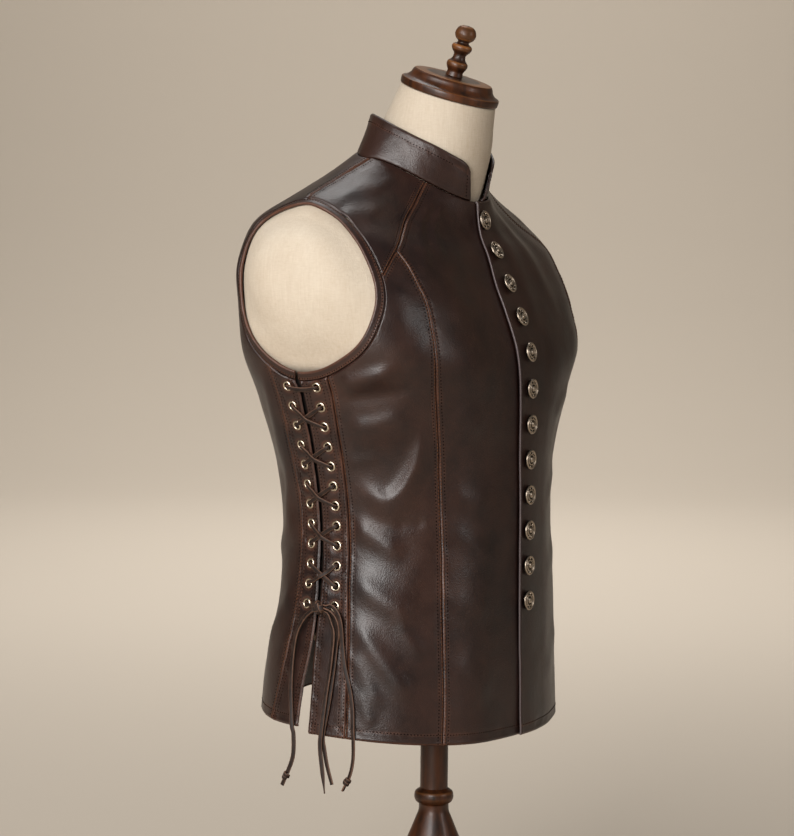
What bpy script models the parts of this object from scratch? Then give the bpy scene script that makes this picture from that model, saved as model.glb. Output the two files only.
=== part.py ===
"""A medieval leather vest, laced at both sides, on a limbless dress form with a turned stand.

The wearer faces -Y with their right side at -X. The origin is under the middle of the base.
"""
import math
from collections import namedtuple

import bmesh
import bpy
from mathutils import Vector

# Driving dimensions of the vest, in metres
HEM_HEIGHT = 0.250
WALL = 0.0020
SEAM_GAP = 0.0006
LAP_RISE = 0.0038
CENTRE_DIP = 0.0050
BINDING_WIDTH = 0.0080
BINDING_WALL = 0.0034
BINDING_GAP = 0.0012
COLLAR_WALL = 0.0026
COLLAR_CORNER = 0.009
COLLAR_HEIGHT = 0.036

# Driving dimensions of what is set on it
BUTTONS = 12
BUTTON_RADIUS = 0.0098
BUTTON_PITCH = 0.0349
FIRST_BUTTON_LEVEL = 10.8
EYELETS = 12
EYELET_TOP = 0.3415
EYELET_PITCH = 0.0192
EYELET_HOLE = 0.0031
EYELET_RIM = 0.0052
EYELET_RISE = 0.0009
EYELET_SHARE_FRONT, EYELET_SHARE_BACK = 0.565, 0.47
THONG_WIDTH = 0.0042
THONG_THICK = 0.0018
THONG_CLEAR = 0.0004
LOWEST_CROSSING = {10, 11}
TAIL_RADIUS = 0.0018
TAIL_STEP = 0.0119

# Driving dimensions of the form and its stand, the turned profiles as distance along the axis and radius
FORM_BOTTOM_LEVEL = 1.6
FORM_INSET = 0.0066
FORM_SEAT = 0.0034
FORM_NECK_INSET = 0.0058
FORM_NECK_DROP = 0.0014
FORM_BULGE = 0.0100
FORM_FLOOR_DROP = 0.012
NECK_LEAN = math.radians(17.5)
NECK_TOP = Vector((0.0, -0.0075, 0.8740))
BASE_RADIUS = 0.205
CAP_RADIUS = 0.0500
CAP_HEIGHT = 0.0186
CAP = [(0.0, 0.0490), (0.0012, CAP_RADIUS), (0.0072, CAP_RADIUS), (0.0100, 0.0460), (0.0135, 0.0415),
       (0.0148, 0.0400), (CAP_HEIGHT, 0.0394)]
FINIAL = [(0.0, 0.0088), (0.0035, 0.0078), (0.0100, 0.0106), (0.0160, 0.0070), (0.0210, 0.0062),
          (0.0262, 0.0096), (0.0300, 0.0102), (0.0340, 0.0056), (0.0375, 0.0088), (0.0425, 0.0106),
          (0.0480, 0.0082), (0.0512, 0.0)]
POST = [(0.0325, 0.0260), (0.0420, 0.0220), (0.0540, 0.0200), (0.0700, 0.0260), (0.0900, 0.0325),
        (0.1080, 0.0325), (0.1360, 0.0232), (0.1480, 0.0182), (0.1560, 0.0152), (0.1625, 0.0152),
        (0.1650, 0.0186), (0.1700, 0.0198), (0.1750, 0.0186), (0.1775, 0.0142)]
POST_RADIUS = 0.0140
BASE = [(0.0, BASE_RADIUS - 0.002), (0.003, BASE_RADIUS), (0.015, BASE_RADIUS),
        (0.020, BASE_RADIUS - 0.008), (0.025, BASE_RADIUS - 0.070), (0.0319, 0.040)]

Finish = namedtuple("Finish", "name colour roughness metallic")
LEATHER = Finish("leather", (0.040, 0.022, 0.016), 0.42, 0.0)
THONG = Finish("thong", (0.050, 0.029, 0.020), 0.50, 0.0)
CANVAS = Finish("canvas", (0.62, 0.50, 0.36), 0.85, 0.0)
WALNUT = Finish("walnut", (0.060, 0.022, 0.010), 0.35, 0.0)
METAL = Finish("metal", (0.42, 0.36, 0.29), 0.35, 1.0)

# The vest's rings from hem to neck: height over the hem, place of the middle, half width, depth to
# the front and the back, squareness, fall of the ring at the front and its rise at the back
Ring = namedtuple("Ring", "height middle half_width front back square fall rise")
RINGS = [
    Ring(0.0065, 0.032, 0.176, 0.1380, 0.1290, 2.15, 0.0125, 0.0075),
    Ring(0.0650, 0.030, 0.170, 0.1350, 0.1260, 2.15, 0.004, 0.007),
    Ring(0.1300, 0.024, 0.163, 0.1280, 0.1200, 2.12, 0.002, 0.002),
    Ring(0.2000, 0.023, 0.155, 0.1270, 0.1245, 2.05, 0.000, 0.000),
    Ring(0.2650, 0.027, 0.163, 0.1310, 0.1270, 2.05, 0.000, 0.000),
    Ring(0.3250, 0.031, 0.181, 0.1360, 0.1260, 2.40, 0.000, 0.000),
    Ring(0.3750, 0.033, 0.197, 0.1360, 0.1250, 2.95, 0.004, 0.000),
    Ring(0.4200, 0.035, 0.204, 0.1255, 0.1240, 2.95, 0.010, 0.002),
    Ring(0.4550, 0.038, 0.204, 0.1165, 0.1210, 2.85, 0.018, 0.006),
    Ring(0.4900, 0.041, 0.197, 0.1065, 0.1090, 2.45, 0.025, 0.008),
    Ring(0.5160, 0.045, 0.177, 0.0970, 0.0780, 1.85, 0.031, 0.010),
    Ring(0.5400, 0.042, 0.122, 0.0870, 0.0540, 1.85, 0.037, 0.010),
    Ring(0.5610, 0.035, 0.077, 0.0778, 0.0420, 2.00, 0.042, 0.010),
]
# How far each front passes the centre, ring by ring
LAP = [(0.0100,), (0.0110,), (0.0120,), (0.0130,), (0.0150,), (0.0180,), (0.0215,), (0.0230,),
       (0.0215,), (0.0150,), (0.0090,), (0.0065,), (0.0070,)]
NECK_LEVEL = len(RINGS) - 1
PRINCESS_ROWS, CHEST_ROWS = 16, 4
COLLAR_TOP = Ring(0.5867, 0.006, 0.0625, 0.0575, 0.0660, 2.00, 0.0, 0.0)
# Turn from the centre front and rise of the collar's top edge there
COLLAR_RISE = [
    (0, -0.0355), (10, -0.0343), (20, -0.0318), (30, -0.0280), (40, -0.0233), (50, -0.0180),
    (60, -0.0128), (70, -0.0080), (80, -0.0034), (90, 0.0014), (100, 0.0062), (110, 0.0108),
    (120, 0.0146), (130, 0.0172), (140, 0.0187), (150, 0.0188), (160, 0.0175), (170, 0.0154),
    (180, 0.0142),
]

# Seams and edges on the right half: level of the ring and turn from the centre front in degrees
Mark = namedtuple("Mark", "level turn")
ARMHOLE = [
    Mark(9.97, 93.0), Mark(9.90, 81.0), Mark(9.60, 69.5), Mark(9.02, 61.5), Mark(8.50, 57.5),
    Mark(8.00, 55.7), Mark(7.50, 55.9), Mark(7.00, 58.0), Mark(6.50, 62.5), Mark(6.15, 68.0),
    Mark(5.88, 75.5), Mark(5.68, 84.0), Mark(5.60, 93.0), Mark(5.66, 100.5), Mark(5.82, 107.5),
    Mark(6.05, 114.0), Mark(6.38, 119.8), Mark(6.85, 124.5), Mark(7.45, 126.0), Mark(8.15, 125.2),
    Mark(8.75, 122.8), Mark(9.28, 118.0), Mark(9.68, 108.5),
]
# Places round the armhole table where the seams meet it
AT_SHOULDER, AT_YOKE, AT_BAND_FRONT = 0.0, 5.0, 10.9
AT_GAP_FRONT, AT_GAP_BACK, AT_BAND_BACK = 12.32, 12.52, 14.2
PRINCESS = [
    Mark(0.0, 40.0), Mark(0.9, 40.5), Mark(2.2, 43.0), Mark(3.2, 44.8), Mark(4.5, 43.7),
    Mark(5.2, 43.0), Mark(5.9, 41.8), Mark(6.6, 40.3), Mark(7.5, 39.5), Mark(8.4, 41.8),
    Mark(8.95, 45.5),
]
CHEST_SEAM = [
    Mark(12.0, 48.5), Mark(11.0, 43.6), Mark(10.1, 41.2), Mark(9.5, 42.6), Mark(8.95, 45.5),
]
SHOULDER_SEAM = [
    Mark(9.97, 93.0), Mark(10.5, 94.0), Mark(11.0, 94.0), Mark(11.5, 92.5), Mark(12.0, 90.5),
]
BAND_FRONT = [
    Mark(0.0, 76.5), Mark(0.6, 77.0), Mark(1.2, 78.2), Mark(1.8, 80.3), Mark(2.4, 82.4),
    Mark(3.0, 83.5), Mark(3.6, 83.3), Mark(4.4, 82.5), Mark(5.1, 81.6),
]
BAND_BACK = [
    Mark(0.06, 118.0), Mark(0.5, 114.6), Mark(1.1, 111.8), Mark(1.8, 111.0), Mark(2.4, 110.5),
    Mark(3.0, 110.0), Mark(4.0, 109.8), Mark(5.1, 109.0),
]
GAP_FRONT = [
    Mark(0.0, 93.5), Mark(0.8, 93.8), Mark(1.35, 95.0), Mark(1.85, 95.8), Mark(2.4, 96.2),
    Mark(3.1, 97.1), Mark(3.8, 96.5), Mark(4.5, 95.5), Mark(5.2, 95.1),
]
GAP_BACK = [
    Mark(0.085, 99.4), Mark(0.8, 98.2), Mark(1.35, 96.7), Mark(1.85, 96.9), Mark(2.4, 97.7),
    Mark(3.1, 98.5), Mark(3.8, 97.8), Mark(4.5, 96.9), Mark(5.2, 96.5),
]

# Largest folds of the side panels, right (1) and left (-1): soft ridges along marks, with their half
# width and height; a degree of turn counts as TURN_LENGTH along the side
Fold = namedtuple("Fold", "width height marks")
TURN_LENGTH = 0.0030
FOLDS = {
    1: [
        Fold(0.0080, 0.0030, [Mark(5.44, 79.0), Mark(5.56, 71.0), Mark(5.72, 62.0), Mark(5.90, 52.0)]),
        Fold(0.0130, 0.0028, [Mark(4.72, 79.0), Mark(4.83, 70.0), Mark(5.02, 60.0), Mark(5.25, 52.0),
                              Mark(5.60, 46.0)]),
        Fold(0.0110, 0.0036, [Mark(4.90, 45.5), Mark(4.50, 49.0), Mark(4.10, 54.0), Mark(3.80, 60.0),
                              Mark(3.72, 67.0), Mark(3.86, 78.0)]),
        Fold(0.0100, 0.0030, [Mark(3.34, 82.5), Mark(3.22, 74.0), Mark(3.02, 66.0), Mark(2.84, 58.0)]),
        Fold(0.0110, 0.0028, [Mark(2.60, 82.0), Mark(2.44, 73.0), Mark(2.32, 64.0), Mark(2.20, 54.0)]),
        Fold(0.0100, 0.0030, [Mark(2.12, 80.0), Mark(1.82, 71.5), Mark(1.50, 62.0), Mark(1.20, 54.5),
                              Mark(0.90, 49.0), Mark(0.55, 45.0)]),
    ],
    -1: [
        Fold(0.0085, 0.0028, [Mark(5.40, 78.0), Mark(5.50, 70.0), Mark(5.70, 60.0), Mark(5.95, 51.0)]),
        Fold(0.0120, 0.0032, [Mark(4.55, 80.0), Mark(4.72, 71.0), Mark(4.98, 61.0), Mark(5.35, 50.0)]),
        Fold(0.0110, 0.0034, [Mark(4.62, 45.8), Mark(4.22, 51.0), Mark(3.92, 58.0), Mark(3.66, 66.0),
                              Mark(3.62, 77.0)]),
        Fold(0.0110, 0.0028, [Mark(3.08, 82.0), Mark(3.02, 72.0), Mark(2.90, 63.0), Mark(2.62, 53.0)]),
        Fold(0.0100, 0.0030, [Mark(2.34, 81.0), Mark(2.00, 71.0), Mark(1.72, 61.0), Mark(1.30, 51.0),
                              Mark(0.85, 45.0)]),
        Fold(0.0120, 0.0024, [Mark(1.45, 77.0), Mark(1.05, 70.0), Mark(0.60, 63.0)]),
    ],
}

# Hanging ends: place beside the knot (forward, up, off the leather), then level, turn and height
# off the leather, then steps past the hem (forward, down)
Tail = namedtuple("Tail", "name start route below knotted")
Hang = namedtuple("Hang", "level turn out")
TAILS = [
    Tail("a", (-0.0061, -0.0010, 0.0010),
         [Hang(1.80, 100.8, 0.0066), Hang(1.55, 105.0, 0.0040), Hang(1.18, 105.4, 0.0026),
          Hang(0.75, 104.2, 0.0026), Hang(0.38, 102.7, 0.0026), Hang(0.08, 101.2, 0.0028)],
         [(0.0020, 0.008), (0.0015, 0.029), (-0.0055, 0.047), (-0.0103, 0.057)], True),
    Tail("b", (0.0061, -0.0030, 0.0010),
         [Hang(1.89, 88.5, 0.0080), Hang(1.77, 86.6, 0.0074), Hang(1.60, 84.8, 0.0068),
          Hang(1.15, 84.2, 0.0064), Hang(0.68, 84.8, 0.0064), Hang(0.04, 85.6, 0.0064)],
         [(-0.0005, 0.015), (0.0017, 0.032), (0.0052, 0.057)], False),
    Tail("c", (0.0061, 0.0010, 0.0010),
         [Hang(1.93, 87.5, 0.0080), Hang(1.83, 84.7, 0.0072), Hang(1.65, 83.3, 0.0050),
          Hang(1.46, 83.6, 0.0028), Hang(1.10, 83.4, 0.0026), Hang(0.60, 84.0, 0.0026),
          Hang(0.04, 85.4, 0.0026)],
         [(0.0017, 0.015), (0.0050, 0.030), (0.0110, 0.048)], False),
    Tail("d", (0.0061, 0.0050, 0.0010),
         [Hang(2.01, 87.0, 0.0080), Hang(1.91, 83.9, 0.0076), Hang(1.74, 82.2, 0.0060),
          Hang(1.45, 80.9, 0.0030), Hang(1.15, 78.8, 0.0026), Hang(0.78, 75.6, 0.0026),
          Hang(0.48, 74.1, 0.0026), Hang(0.16, 73.4, 0.0028)],
         [(0.0010, 0.014), (0.0005, 0.030), (-0.0029, 0.044), (-0.0100, 0.058)], True),
]
KNOT_SIZE = Vector((0.0094, 0.0100, 0.0084))
KNOT_OUT = 0.0070
KNOT_SHIFT = Vector((0.0, -0.0045, -0.0035))
END_KNOT_RADIUS = 0.0038
END_KNOT_LIFT = 0.012


def blend(before, start, end, after, t):
    """Smooth curve from start to end, shaped by the values before and after them."""
    return 0.5 * (2 * start + (end - before) * t + (2 * before - 5 * start + 4 * end - after) * t * t
                  + (3 * start - before - 3 * end + after) * t ** 3)


def along(rows, place, closed=False):
    """Values of a table's columns at a place counted in rows."""
    last = len(rows) - 1
    if closed:
        k = math.floor(place)
        four = [rows[(k + i) % len(rows)] for i in (-1, 0, 1, 2)]
    else:
        place = min(max(place, 0.0), float(last))
        k = min(int(place), last - 1)
        four = [rows[min(max(k + i, 0), last)] for i in (-1, 0, 1, 2)]
        if k == 0:
            four[0] = tuple(2 * a - b for a, b in zip(rows[0], rows[1]))
        if k == last - 1:
            four[3] = tuple(2 * a - b for a, b in zip(rows[last], rows[last - 1]))
    return [blend(*column, place - k) for column in zip(*four)]


def on_ring(ring, turn):
    """Point of a ring at a turn from the centre front towards the wearer's right, in degrees."""
    height, middle, half_width, front, back, square, fall, rise = ring
    s, c = math.sin(math.radians(turn)), math.cos(math.radians(turn))
    reach = (abs(s) ** square + abs(c) ** square) ** (-1 / square)
    part = abs(reach * c)
    if c > 0:
        y, z = middle - part * front, height - fall * part ** 1.5
    else:
        y, z = middle + part * back, height + rise * part ** 1.5
    return Vector((-reach * s * half_width, y, HEM_HEIGHT + z))


def smooth(start, end, value):
    """Soft step from 0 at start to 1 at end."""
    t = min(max((value - start) / (end - start), 0.0), 1.0)
    return t * t * (3 - 2 * t)


def around_turn(turn):
    """Turn from the centre front without its side, 0 to 180 degrees."""
    return abs((turn + 180) % 360 - 180)


def skin(level, turn, out=0.0):
    """Point of the vest's outer face, moved off it by out; the fronts dip between the breasts."""
    point = on_ring(along(RINGS, level), turn)
    point.y += CENTRE_DIP * smooth(36, 10, around_turn(turn)) * smooth(12, 8.8, level)
    return point + outward(level, turn) * out if out else point


def slopes(level, turn):
    """How the outer face moves for one level and for one degree of turn."""
    low, high = max(level - 0.04, 0.0), min(level + 0.04, NECK_LEVEL)
    up = (skin(high, turn) - skin(low, turn)) / (high - low)
    around = skin(level, turn + 0.5) - skin(level, turn - 0.5)
    return up, around


def outward(level, turn):
    up, around = slopes(level, turn)
    return up.cross(around).normalized()


def walk(mark, move):
    """Mark reached from another one by a short move along the outer face."""
    up, around = slopes(*mark)
    uu, ua, aa = up.dot(up), up.dot(around), around.dot(around)
    mu, ma = move.dot(up), move.dot(around)
    scale = uu * aa - ua * ua
    return Mark(mark[0] + (mu * aa - ma * ua) / scale, mark[1] + (ma * uu - mu * ua) / scale)


def armhole(place, out=0.0):
    """Mark on the armhole's inner edge, or away from the hole by out."""
    mark = Mark(*along(ARMHOLE, place, closed=True))
    if not out:
        return mark
    here = skin(*along(ARMHOLE, place - 0.3, closed=True))
    ahead = skin(*along(ARMHOLE, place + 0.3, closed=True))
    away = (ahead - here).cross(outward(*mark)).normalized()
    if away.dot(skin(7.8, 92.0) - skin(*mark)) > 0:
        away.negate()
    return walk(mark, away * out)


def panel_armhole(place):
    """Mark on the panels' edge, outside the binding."""
    return armhole(place, BINDING_WIDTH + BINDING_GAP)


def spread(marks, count):
    """Marks at even steps of length along a table of marks."""
    fine = [Mark(*along(marks, i * (len(marks) - 1) / 80)) for i in range(81)]
    points = [skin(*mark) for mark in fine]
    lengths = [0.0]
    for a, b in zip(points, points[1:]):
        lengths.append(lengths[-1] + (b - a).length)
    out, k = [], 0
    for i in range(count + 1):
        goal = lengths[-1] * i / count
        while k < 79 and lengths[k + 1] < goal:
            k += 1
        t = (goal - lengths[k]) / max(lengths[k + 1] - lengths[k], 1e-9)
        out.append(Mark(*(p + (q - p) * t for p, q in zip(fine[k], fine[k + 1]))))
    return out


def fold_rise(mark, side):
    """Height of the folds of one side panel over the plain outer face."""
    def flat(spot):
        return Vector((spot[1] * TURN_LENGTH, along(RINGS, spot[0])[0]))

    here, height = flat(mark), 0.0
    for fold in FOLDS[side]:
        route = [flat(spot) for spot in fold.marks]
        nearest, share = math.inf, 0.0
        for k, (a, b) in enumerate(zip(route, route[1:])):
            t = min(max((here - a).dot(b - a) / (b - a).length_squared, 0.0), 1.0)
            apart = (here - a.lerp(b, t)).length
            if apart < nearest:
                nearest, share = apart, (k + t) / (len(route) - 1)
        fade = smooth(0.0, 0.3, share) * smooth(1.0, 0.7, share)
        height += fold.height * fade * math.exp(-(nearest / fold.width) ** 2)
    return height


def filled(bottom, top, left, right):
    """Grid of marks between four edges that share their corners."""
    columns, rows = len(bottom) - 1, len(left) - 1
    grid = []
    for j in range(rows + 1):
        v = j / rows
        row = []
        for i in range(columns + 1):
            u = i / columns
            row.append(Mark(*(
                (1 - v) * b + v * t + (1 - u) * l + u * r
                - ((1 - u) * (1 - v) * bl + u * (1 - v) * br + (1 - u) * v * tl + u * v * tr)
                for b, t, l, r, bl, br, tl, tr in zip(bottom[i], top[i], left[j], right[j],
                                                       bottom[0], bottom[-1], top[0], top[-1]))))
        grid.append(row)
    return grid


def material(finish):
    """The finish as a material, made once."""
    made = bpy.data.materials.get(finish.name)
    if made is None:
        made = bpy.data.materials.new(finish.name)
        made.use_nodes = True
        shader = made.node_tree.nodes["Principled BSDF"]
        shader.inputs["Base Color"].default_value = (*finish.colour, 1.0)
        shader.inputs["Roughness"].default_value = finish.roughness
        shader.inputs["Metallic"].default_value = finish.metallic
    return made


def make(name, points, faces, finish, smooth=True):
    """Object from points and faces, with its faces turned outwards."""
    bm = bmesh.new()
    verts = [bm.verts.new(point) for point in points]
    for face in faces:
        bm.faces.new([verts[i] for i in face])
    return finish_mesh(name, bm, finish, smooth)


def finish_mesh(name, bm, finish, smooth=True):
    bmesh.ops.recalc_face_normals(bm, faces=bm.faces)
    mesh = bpy.data.meshes.new(name)
    bm.to_mesh(mesh)
    bm.free()
    mesh.materials.append(material(finish))
    if smooth:
        mesh.shade_smooth()
        mesh.set_sharp_from_angle(angle=math.radians(40))
    thing = bpy.data.objects.new(name, mesh)
    bpy.context.collection.objects.link(thing)
    return thing


def mirrored(points, side):
    return [Vector((point.x * side, point.y, point.z)) for point in points]


def wall(name, outer, inner, faces_out, faces_in, side, finish=LEATHER):
    """Closed wall from its outer and inner points, whose edges share their numbers."""
    used = {}
    for face in faces_out:
        for a, b in zip(face, face[1:] + face[:1]):
            used[(a, b)] = True
    rim = [(a, b) for a, b in used if (b, a) not in used]
    shift = len(outer)
    faces = list(faces_out) + [[i + shift for i in reversed(face)] for face in faces_in]
    faces += [[b, a, a + shift, b + shift] for a, b in rim]
    return make(name, mirrored(outer + inner, side), faces, finish)


def border(columns, rows):
    """Numbers of a grid's edge points, in order round it."""
    width = columns + 1
    loop = list(range(columns)) + [j * width + columns for j in range(rows)]
    loop += [rows * width + i for i in range(columns, 0, -1)] + [j * width for j in range(rows, 0, -1)]
    return loop


def straightened(points, columns, rows):
    """Grid whose last column has every second point on the line between its neighbours."""
    out, width = list(points), columns + 1
    for j in range(1, rows, 2):
        out[j * width + columns] = (out[(j - 1) * width + columns] + out[(j + 1) * width + columns]) / 2
    return out


def trimmed(points, normals, columns, rows):
    """Grid of points whose edges are drawn in by half the seam gap, square to the edge."""
    loop = border(columns, rows)
    middle = sum(points, Vector()) / len(points)
    moves, leaning = [], 0.0
    for k, n in enumerate(loop):
        before, here, after = points[loop[k - 1]], points[n], points[loop[(k + 1) % len(loop)]]
        first = normals[n].cross(here - before).normalized()
        second = normals[n].cross(after - here).normalized()
        move = (first + second) / (1.0 + max(first.dot(second), -0.4))
        moves.append(move * SEAM_GAP / 2)
        leaning += move.dot(middle - here)
    sign = 1.0 if leaning > 0 else -1.0
    out = list(points)
    for n, move in zip(loop, moves):
        out[n] = points[n] + move * sign
    return out


def panel(name, grid, side, rise=None, straight=False):
    """Sheet of leather over a grid of marks; rise lifts a mark off the outer face. With straight,
    its last column follows a neighbour that has half as many rows."""
    rows, columns = len(grid) - 1, len(grid[0]) - 1
    lift = rise or (lambda mark: 0.0)
    marks = [mark for row in grid for mark in row]
    outer = [skin(*mark, lift(mark)) for mark in marks]
    inner = [skin(*mark, lift(mark) - WALL) for mark in marks]
    normals = [outward(*mark) for mark in marks]
    width = columns + 1
    faces = [[j * width + i, j * width + i + 1, (j + 1) * width + i + 1, (j + 1) * width + i]
             for j in range(rows) for i in range(columns)]
    if straight:
        outer, inner = (straightened(points, columns, rows) for points in (outer, inner))
    outer, inner = (trimmed(points, normals, columns, rows) for points in (outer, inner))
    return wall(name, outer, inner, faces, faces, side)


def even(start, end, count):
    """Marks at even steps from one mark to another."""
    return [Mark(*(a + (b - a) * i / count for a, b in zip(start, end))) for i in range(count + 1)]


def lap_edge():
    """Front edge from hem to neck, on its panel's own half."""
    rows = 24
    edge = []
    for k in range(rows + 1):
        level = NECK_LEVEL * (k / rows)
        past = along(LAP, level)[0]
        low, high = -30.0, 30.0
        for _ in range(30):
            turn = (low + high) / 2
            if -skin(level, turn).x < -past:
                low = turn
            else:
                high = turn
        edge.append(Mark(level, turn))
    return edge


def over_rise(mark):
    """The lapping front lies on the other one near the centre and comes down beside it."""
    return LAP_RISE * smooth(30.0, 13.0, mark.turn)


def make_fronts():
    """Each front runs from its princess and chest seams to the buttoned edge."""
    columns = 6
    princess = spread(PRINCESS, PRINCESS_ROWS)
    side_edge = princess + spread(list(reversed(CHEST_SEAM)), CHEST_ROWS)[1:]
    edge = spread(lap_edge(), len(side_edge) - 1)
    neck = even(side_edge[-1], edge[-1], columns)
    hem = even(princess[0], edge[0], columns)
    grid = filled(hem, neck, side_edge, edge)
    panel("front_right", grid, 1)
    panel("front_left", grid, -1, over_rise)


def make_side_fronts():
    """Each runs from the lacing band to the princess seam, with the folds at the waist."""
    hole_steps, rows = 6, 2 * PRINCESS_ROWS
    band = spread(BAND_FRONT + [panel_armhole(AT_BAND_FRONT)], rows)
    princess = spread(PRINCESS, rows)
    hole = [panel_armhole(AT_BAND_FRONT + (AT_YOKE - AT_BAND_FRONT) * i / hole_steps)
            for i in range(hole_steps + 1)]
    hem = even(band[0], princess[0], hole_steps + 1)
    grid = filled(hem, hole + [princess[-1]], band, princess)
    for side, name in ((1, "side_front_right"), (-1, "side_front_left")):
        panel(name, grid, side, lambda mark: fold_rise(mark, side), straight=True)


def make_yokes():
    rows = 6
    seam = [panel_armhole(AT_YOKE)] + spread(list(reversed(CHEST_SEAM)), CHEST_ROWS)
    shoulder = spread([panel_armhole(AT_SHOULDER)] + SHOULDER_SEAM[1:], CHEST_ROWS + 1)
    hole = [panel_armhole(AT_YOKE * (1 - i / rows)) for i in range(rows + 1)]
    neck = even(CHEST_SEAM[0], SHOULDER_SEAM[-1], rows)
    for side, name in ((1, "yoke_front_right"), (-1, "yoke_front_left")):
        panel(name, filled(seam, shoulder, hole, neck), side)


def make_backs():
    """Each back runs from the centre back to the lacing band, the armhole and the shoulder seam."""
    columns, hole_rows = 8, 8
    around = len(ARMHOLE)
    band = spread(BAND_BACK + [panel_armhole(AT_BAND_BACK)], 13)
    hole = [panel_armhole(AT_BAND_BACK + (around - AT_BAND_BACK) * i / hole_rows)
            for i in range(hole_rows + 1)]
    shoulder = spread([panel_armhole(AT_SHOULDER)] + SHOULDER_SEAM[1:], CHEST_ROWS + 1)
    side_edge = band + hole[1:] + shoulder[1:]
    middle = spread([Mark(float(k), 180.0) for k in range(NECK_LEVEL + 1)], len(side_edge) - 1)
    hem = even(middle[0], side_edge[0], columns)
    neck = even(middle[-1], side_edge[-1], columns)
    for side, name in ((1, "back_right"), (-1, "back_left")):
        panel(name, filled(hem, neck, middle, side_edge), side)


def eyelet_rows(gap, band, gap_at, band_at):
    """Marks of a lacing band's edges: each eyelet's own row and the rows between eyelets."""
    gap = spread(gap + [panel_armhole(gap_at)], 60)
    band = spread(band + [panel_armhole(band_at)], 60)

    def at(edge, height):
        for low, high in zip(edge, edge[1:]):
            a, b = skin(*low).z - HEM_HEIGHT, skin(*high).z - HEM_HEIGHT
            if b >= height:
                t = (height - a) / (b - a)
                return Mark(*(p + (q - p) * t for p, q in zip(low, high)))
        return edge[-1]

    slit_rows = 4
    lowest = EYELET_TOP - (EYELETS - 1) * EYELET_PITCH - EYELET_PITCH / 2
    heights = [lowest * i / slit_rows for i in range(1, slit_rows)]
    heights += [lowest + EYELET_PITCH * i / 2 for i in range(2 * EYELETS)]
    rows = [(gap[0], band[0])] + [(at(gap, h), at(band, h)) for h in heights]
    return rows + [(gap[-1], band[-1])], slit_rows


def band_grid(gap, band, gap_at, band_at, share):
    """Three marks for each row of a lacing band, and the row where its first cell starts. The
    eyelets lie at a share of the way from the gap to the band's seam."""
    rows, first = eyelet_rows(gap, band, gap_at, band_at)
    grid = []
    for inner_edge, outer_edge in rows:
        middle = Mark(*(a + (b - a) * share for a, b in zip(inner_edge, outer_edge)))
        grid.append([inner_edge, middle, outer_edge])
    grid[-1][1] = panel_armhole(gap_at + (band_at - gap_at) * share)
    return grid, first


def eyelet_marks(grid, first):
    """Marks of the eyelets from the top one down."""
    return [grid[first + 2 * k + 1][1] for k in reversed(range(EYELETS))]


def make_band(name, edges, side):
    """Lacing band with a raised ring round each eyelet's hole; a cell of the grid holds an eyelet."""
    grid, first = band_grid(*edges)
    marks = [mark for row in grid for mark in row]
    normals = [outward(*mark) for mark in marks]
    outer, inner = (trimmed([skin(*mark, out) for mark in marks], normals, 2, len(grid) - 1)
                    for out in (0.0, -WALL))
    faces_out, faces_in = [], []
    for j in range(first):
        for i in range(2):
            quad = [j * 3 + i, j * 3 + i + 1, (j + 1) * 3 + i + 1, (j + 1) * 3 + i]
            faces_out.append(quad)
            faces_in.append(quad)
    for k in range(EYELETS):
        j = first + 2 * k
        below, level, above = j * 3, (j + 1) * 3, (j + 2) * 3
        ring = [below, below + 1, below + 2, level + 2, above + 2, above + 1, above, level]
        centre = grid[j + 1][1]
        normal = outward(*centre)
        middle = skin(*centre)
        rim, lip, back = [], [], []
        for n in ring:
            away = outer[n] - middle
            away -= normal * away.dot(normal)
            away.normalize()
            rim.append(middle + away * EYELET_RIM)
            lip.append(middle + away * EYELET_HOLE + normal * EYELET_RISE)
            back.append(middle + away * EYELET_HOLE - normal * WALL)
        start = len(outer)
        outer += rim + lip
        inner += [p.copy() for p in rim] + back
        count = len(ring)
        for i in range(count):
            after = (i + 1) % count
            faces_out.append([ring[i], ring[after], start + after, start + i])
            faces_out.append([start + i, start + after, start + count + after, start + count + i])
            faces_in.append([ring[i], ring[after], start + count + after, start + count + i])
    wall(name, *without_unused(outer, inner, faces_out, faces_in), side)


def without_unused(outer, inner, faces_out, faces_in):
    """The wall's points and faces without the points under the eyelets that no face uses."""
    used = sorted({i for face in faces_out for i in face} | {i for face in faces_in for i in face})
    new = {old: k for k, old in enumerate(used)}
    renamed = [[[new[i] for i in face] for face in faces] for faces in (faces_out, faces_in)]
    return [outer[i] for i in used], [inner[i] for i in used], renamed[0], renamed[1]


BAND_EDGES = {
    "front": (GAP_FRONT, BAND_FRONT, AT_GAP_FRONT, AT_BAND_FRONT, EYELET_SHARE_FRONT),
    "back": (GAP_BACK, BAND_BACK, AT_GAP_BACK, AT_BAND_BACK, EYELET_SHARE_BACK),
}


def make_bands():
    for side, word in ((1, "right"), (-1, "left")):
        for part, edges in BAND_EDGES.items():
            make_band(f"lace_band_{part}_{word}", edges, side)


def swept(name, frames, section, finish, side=1):
    """Body swept through frames of place, width direction and height direction."""
    points = []
    for place, wide, high in frames:
        points += [place + wide * a + high * b for a, b in section]
    n, last = len(section), len(frames) - 1
    faces = []
    for k in range(last):
        for i in range(n):
            j = (i + 1) % n
            faces.append([k * n + i, k * n + j, (k + 1) * n + j, (k + 1) * n + i])
    faces.append(list(reversed(range(n))))
    faces.append([last * n + i for i in range(n)])
    return make(name, mirrored(points, side), faces, finish)


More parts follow.
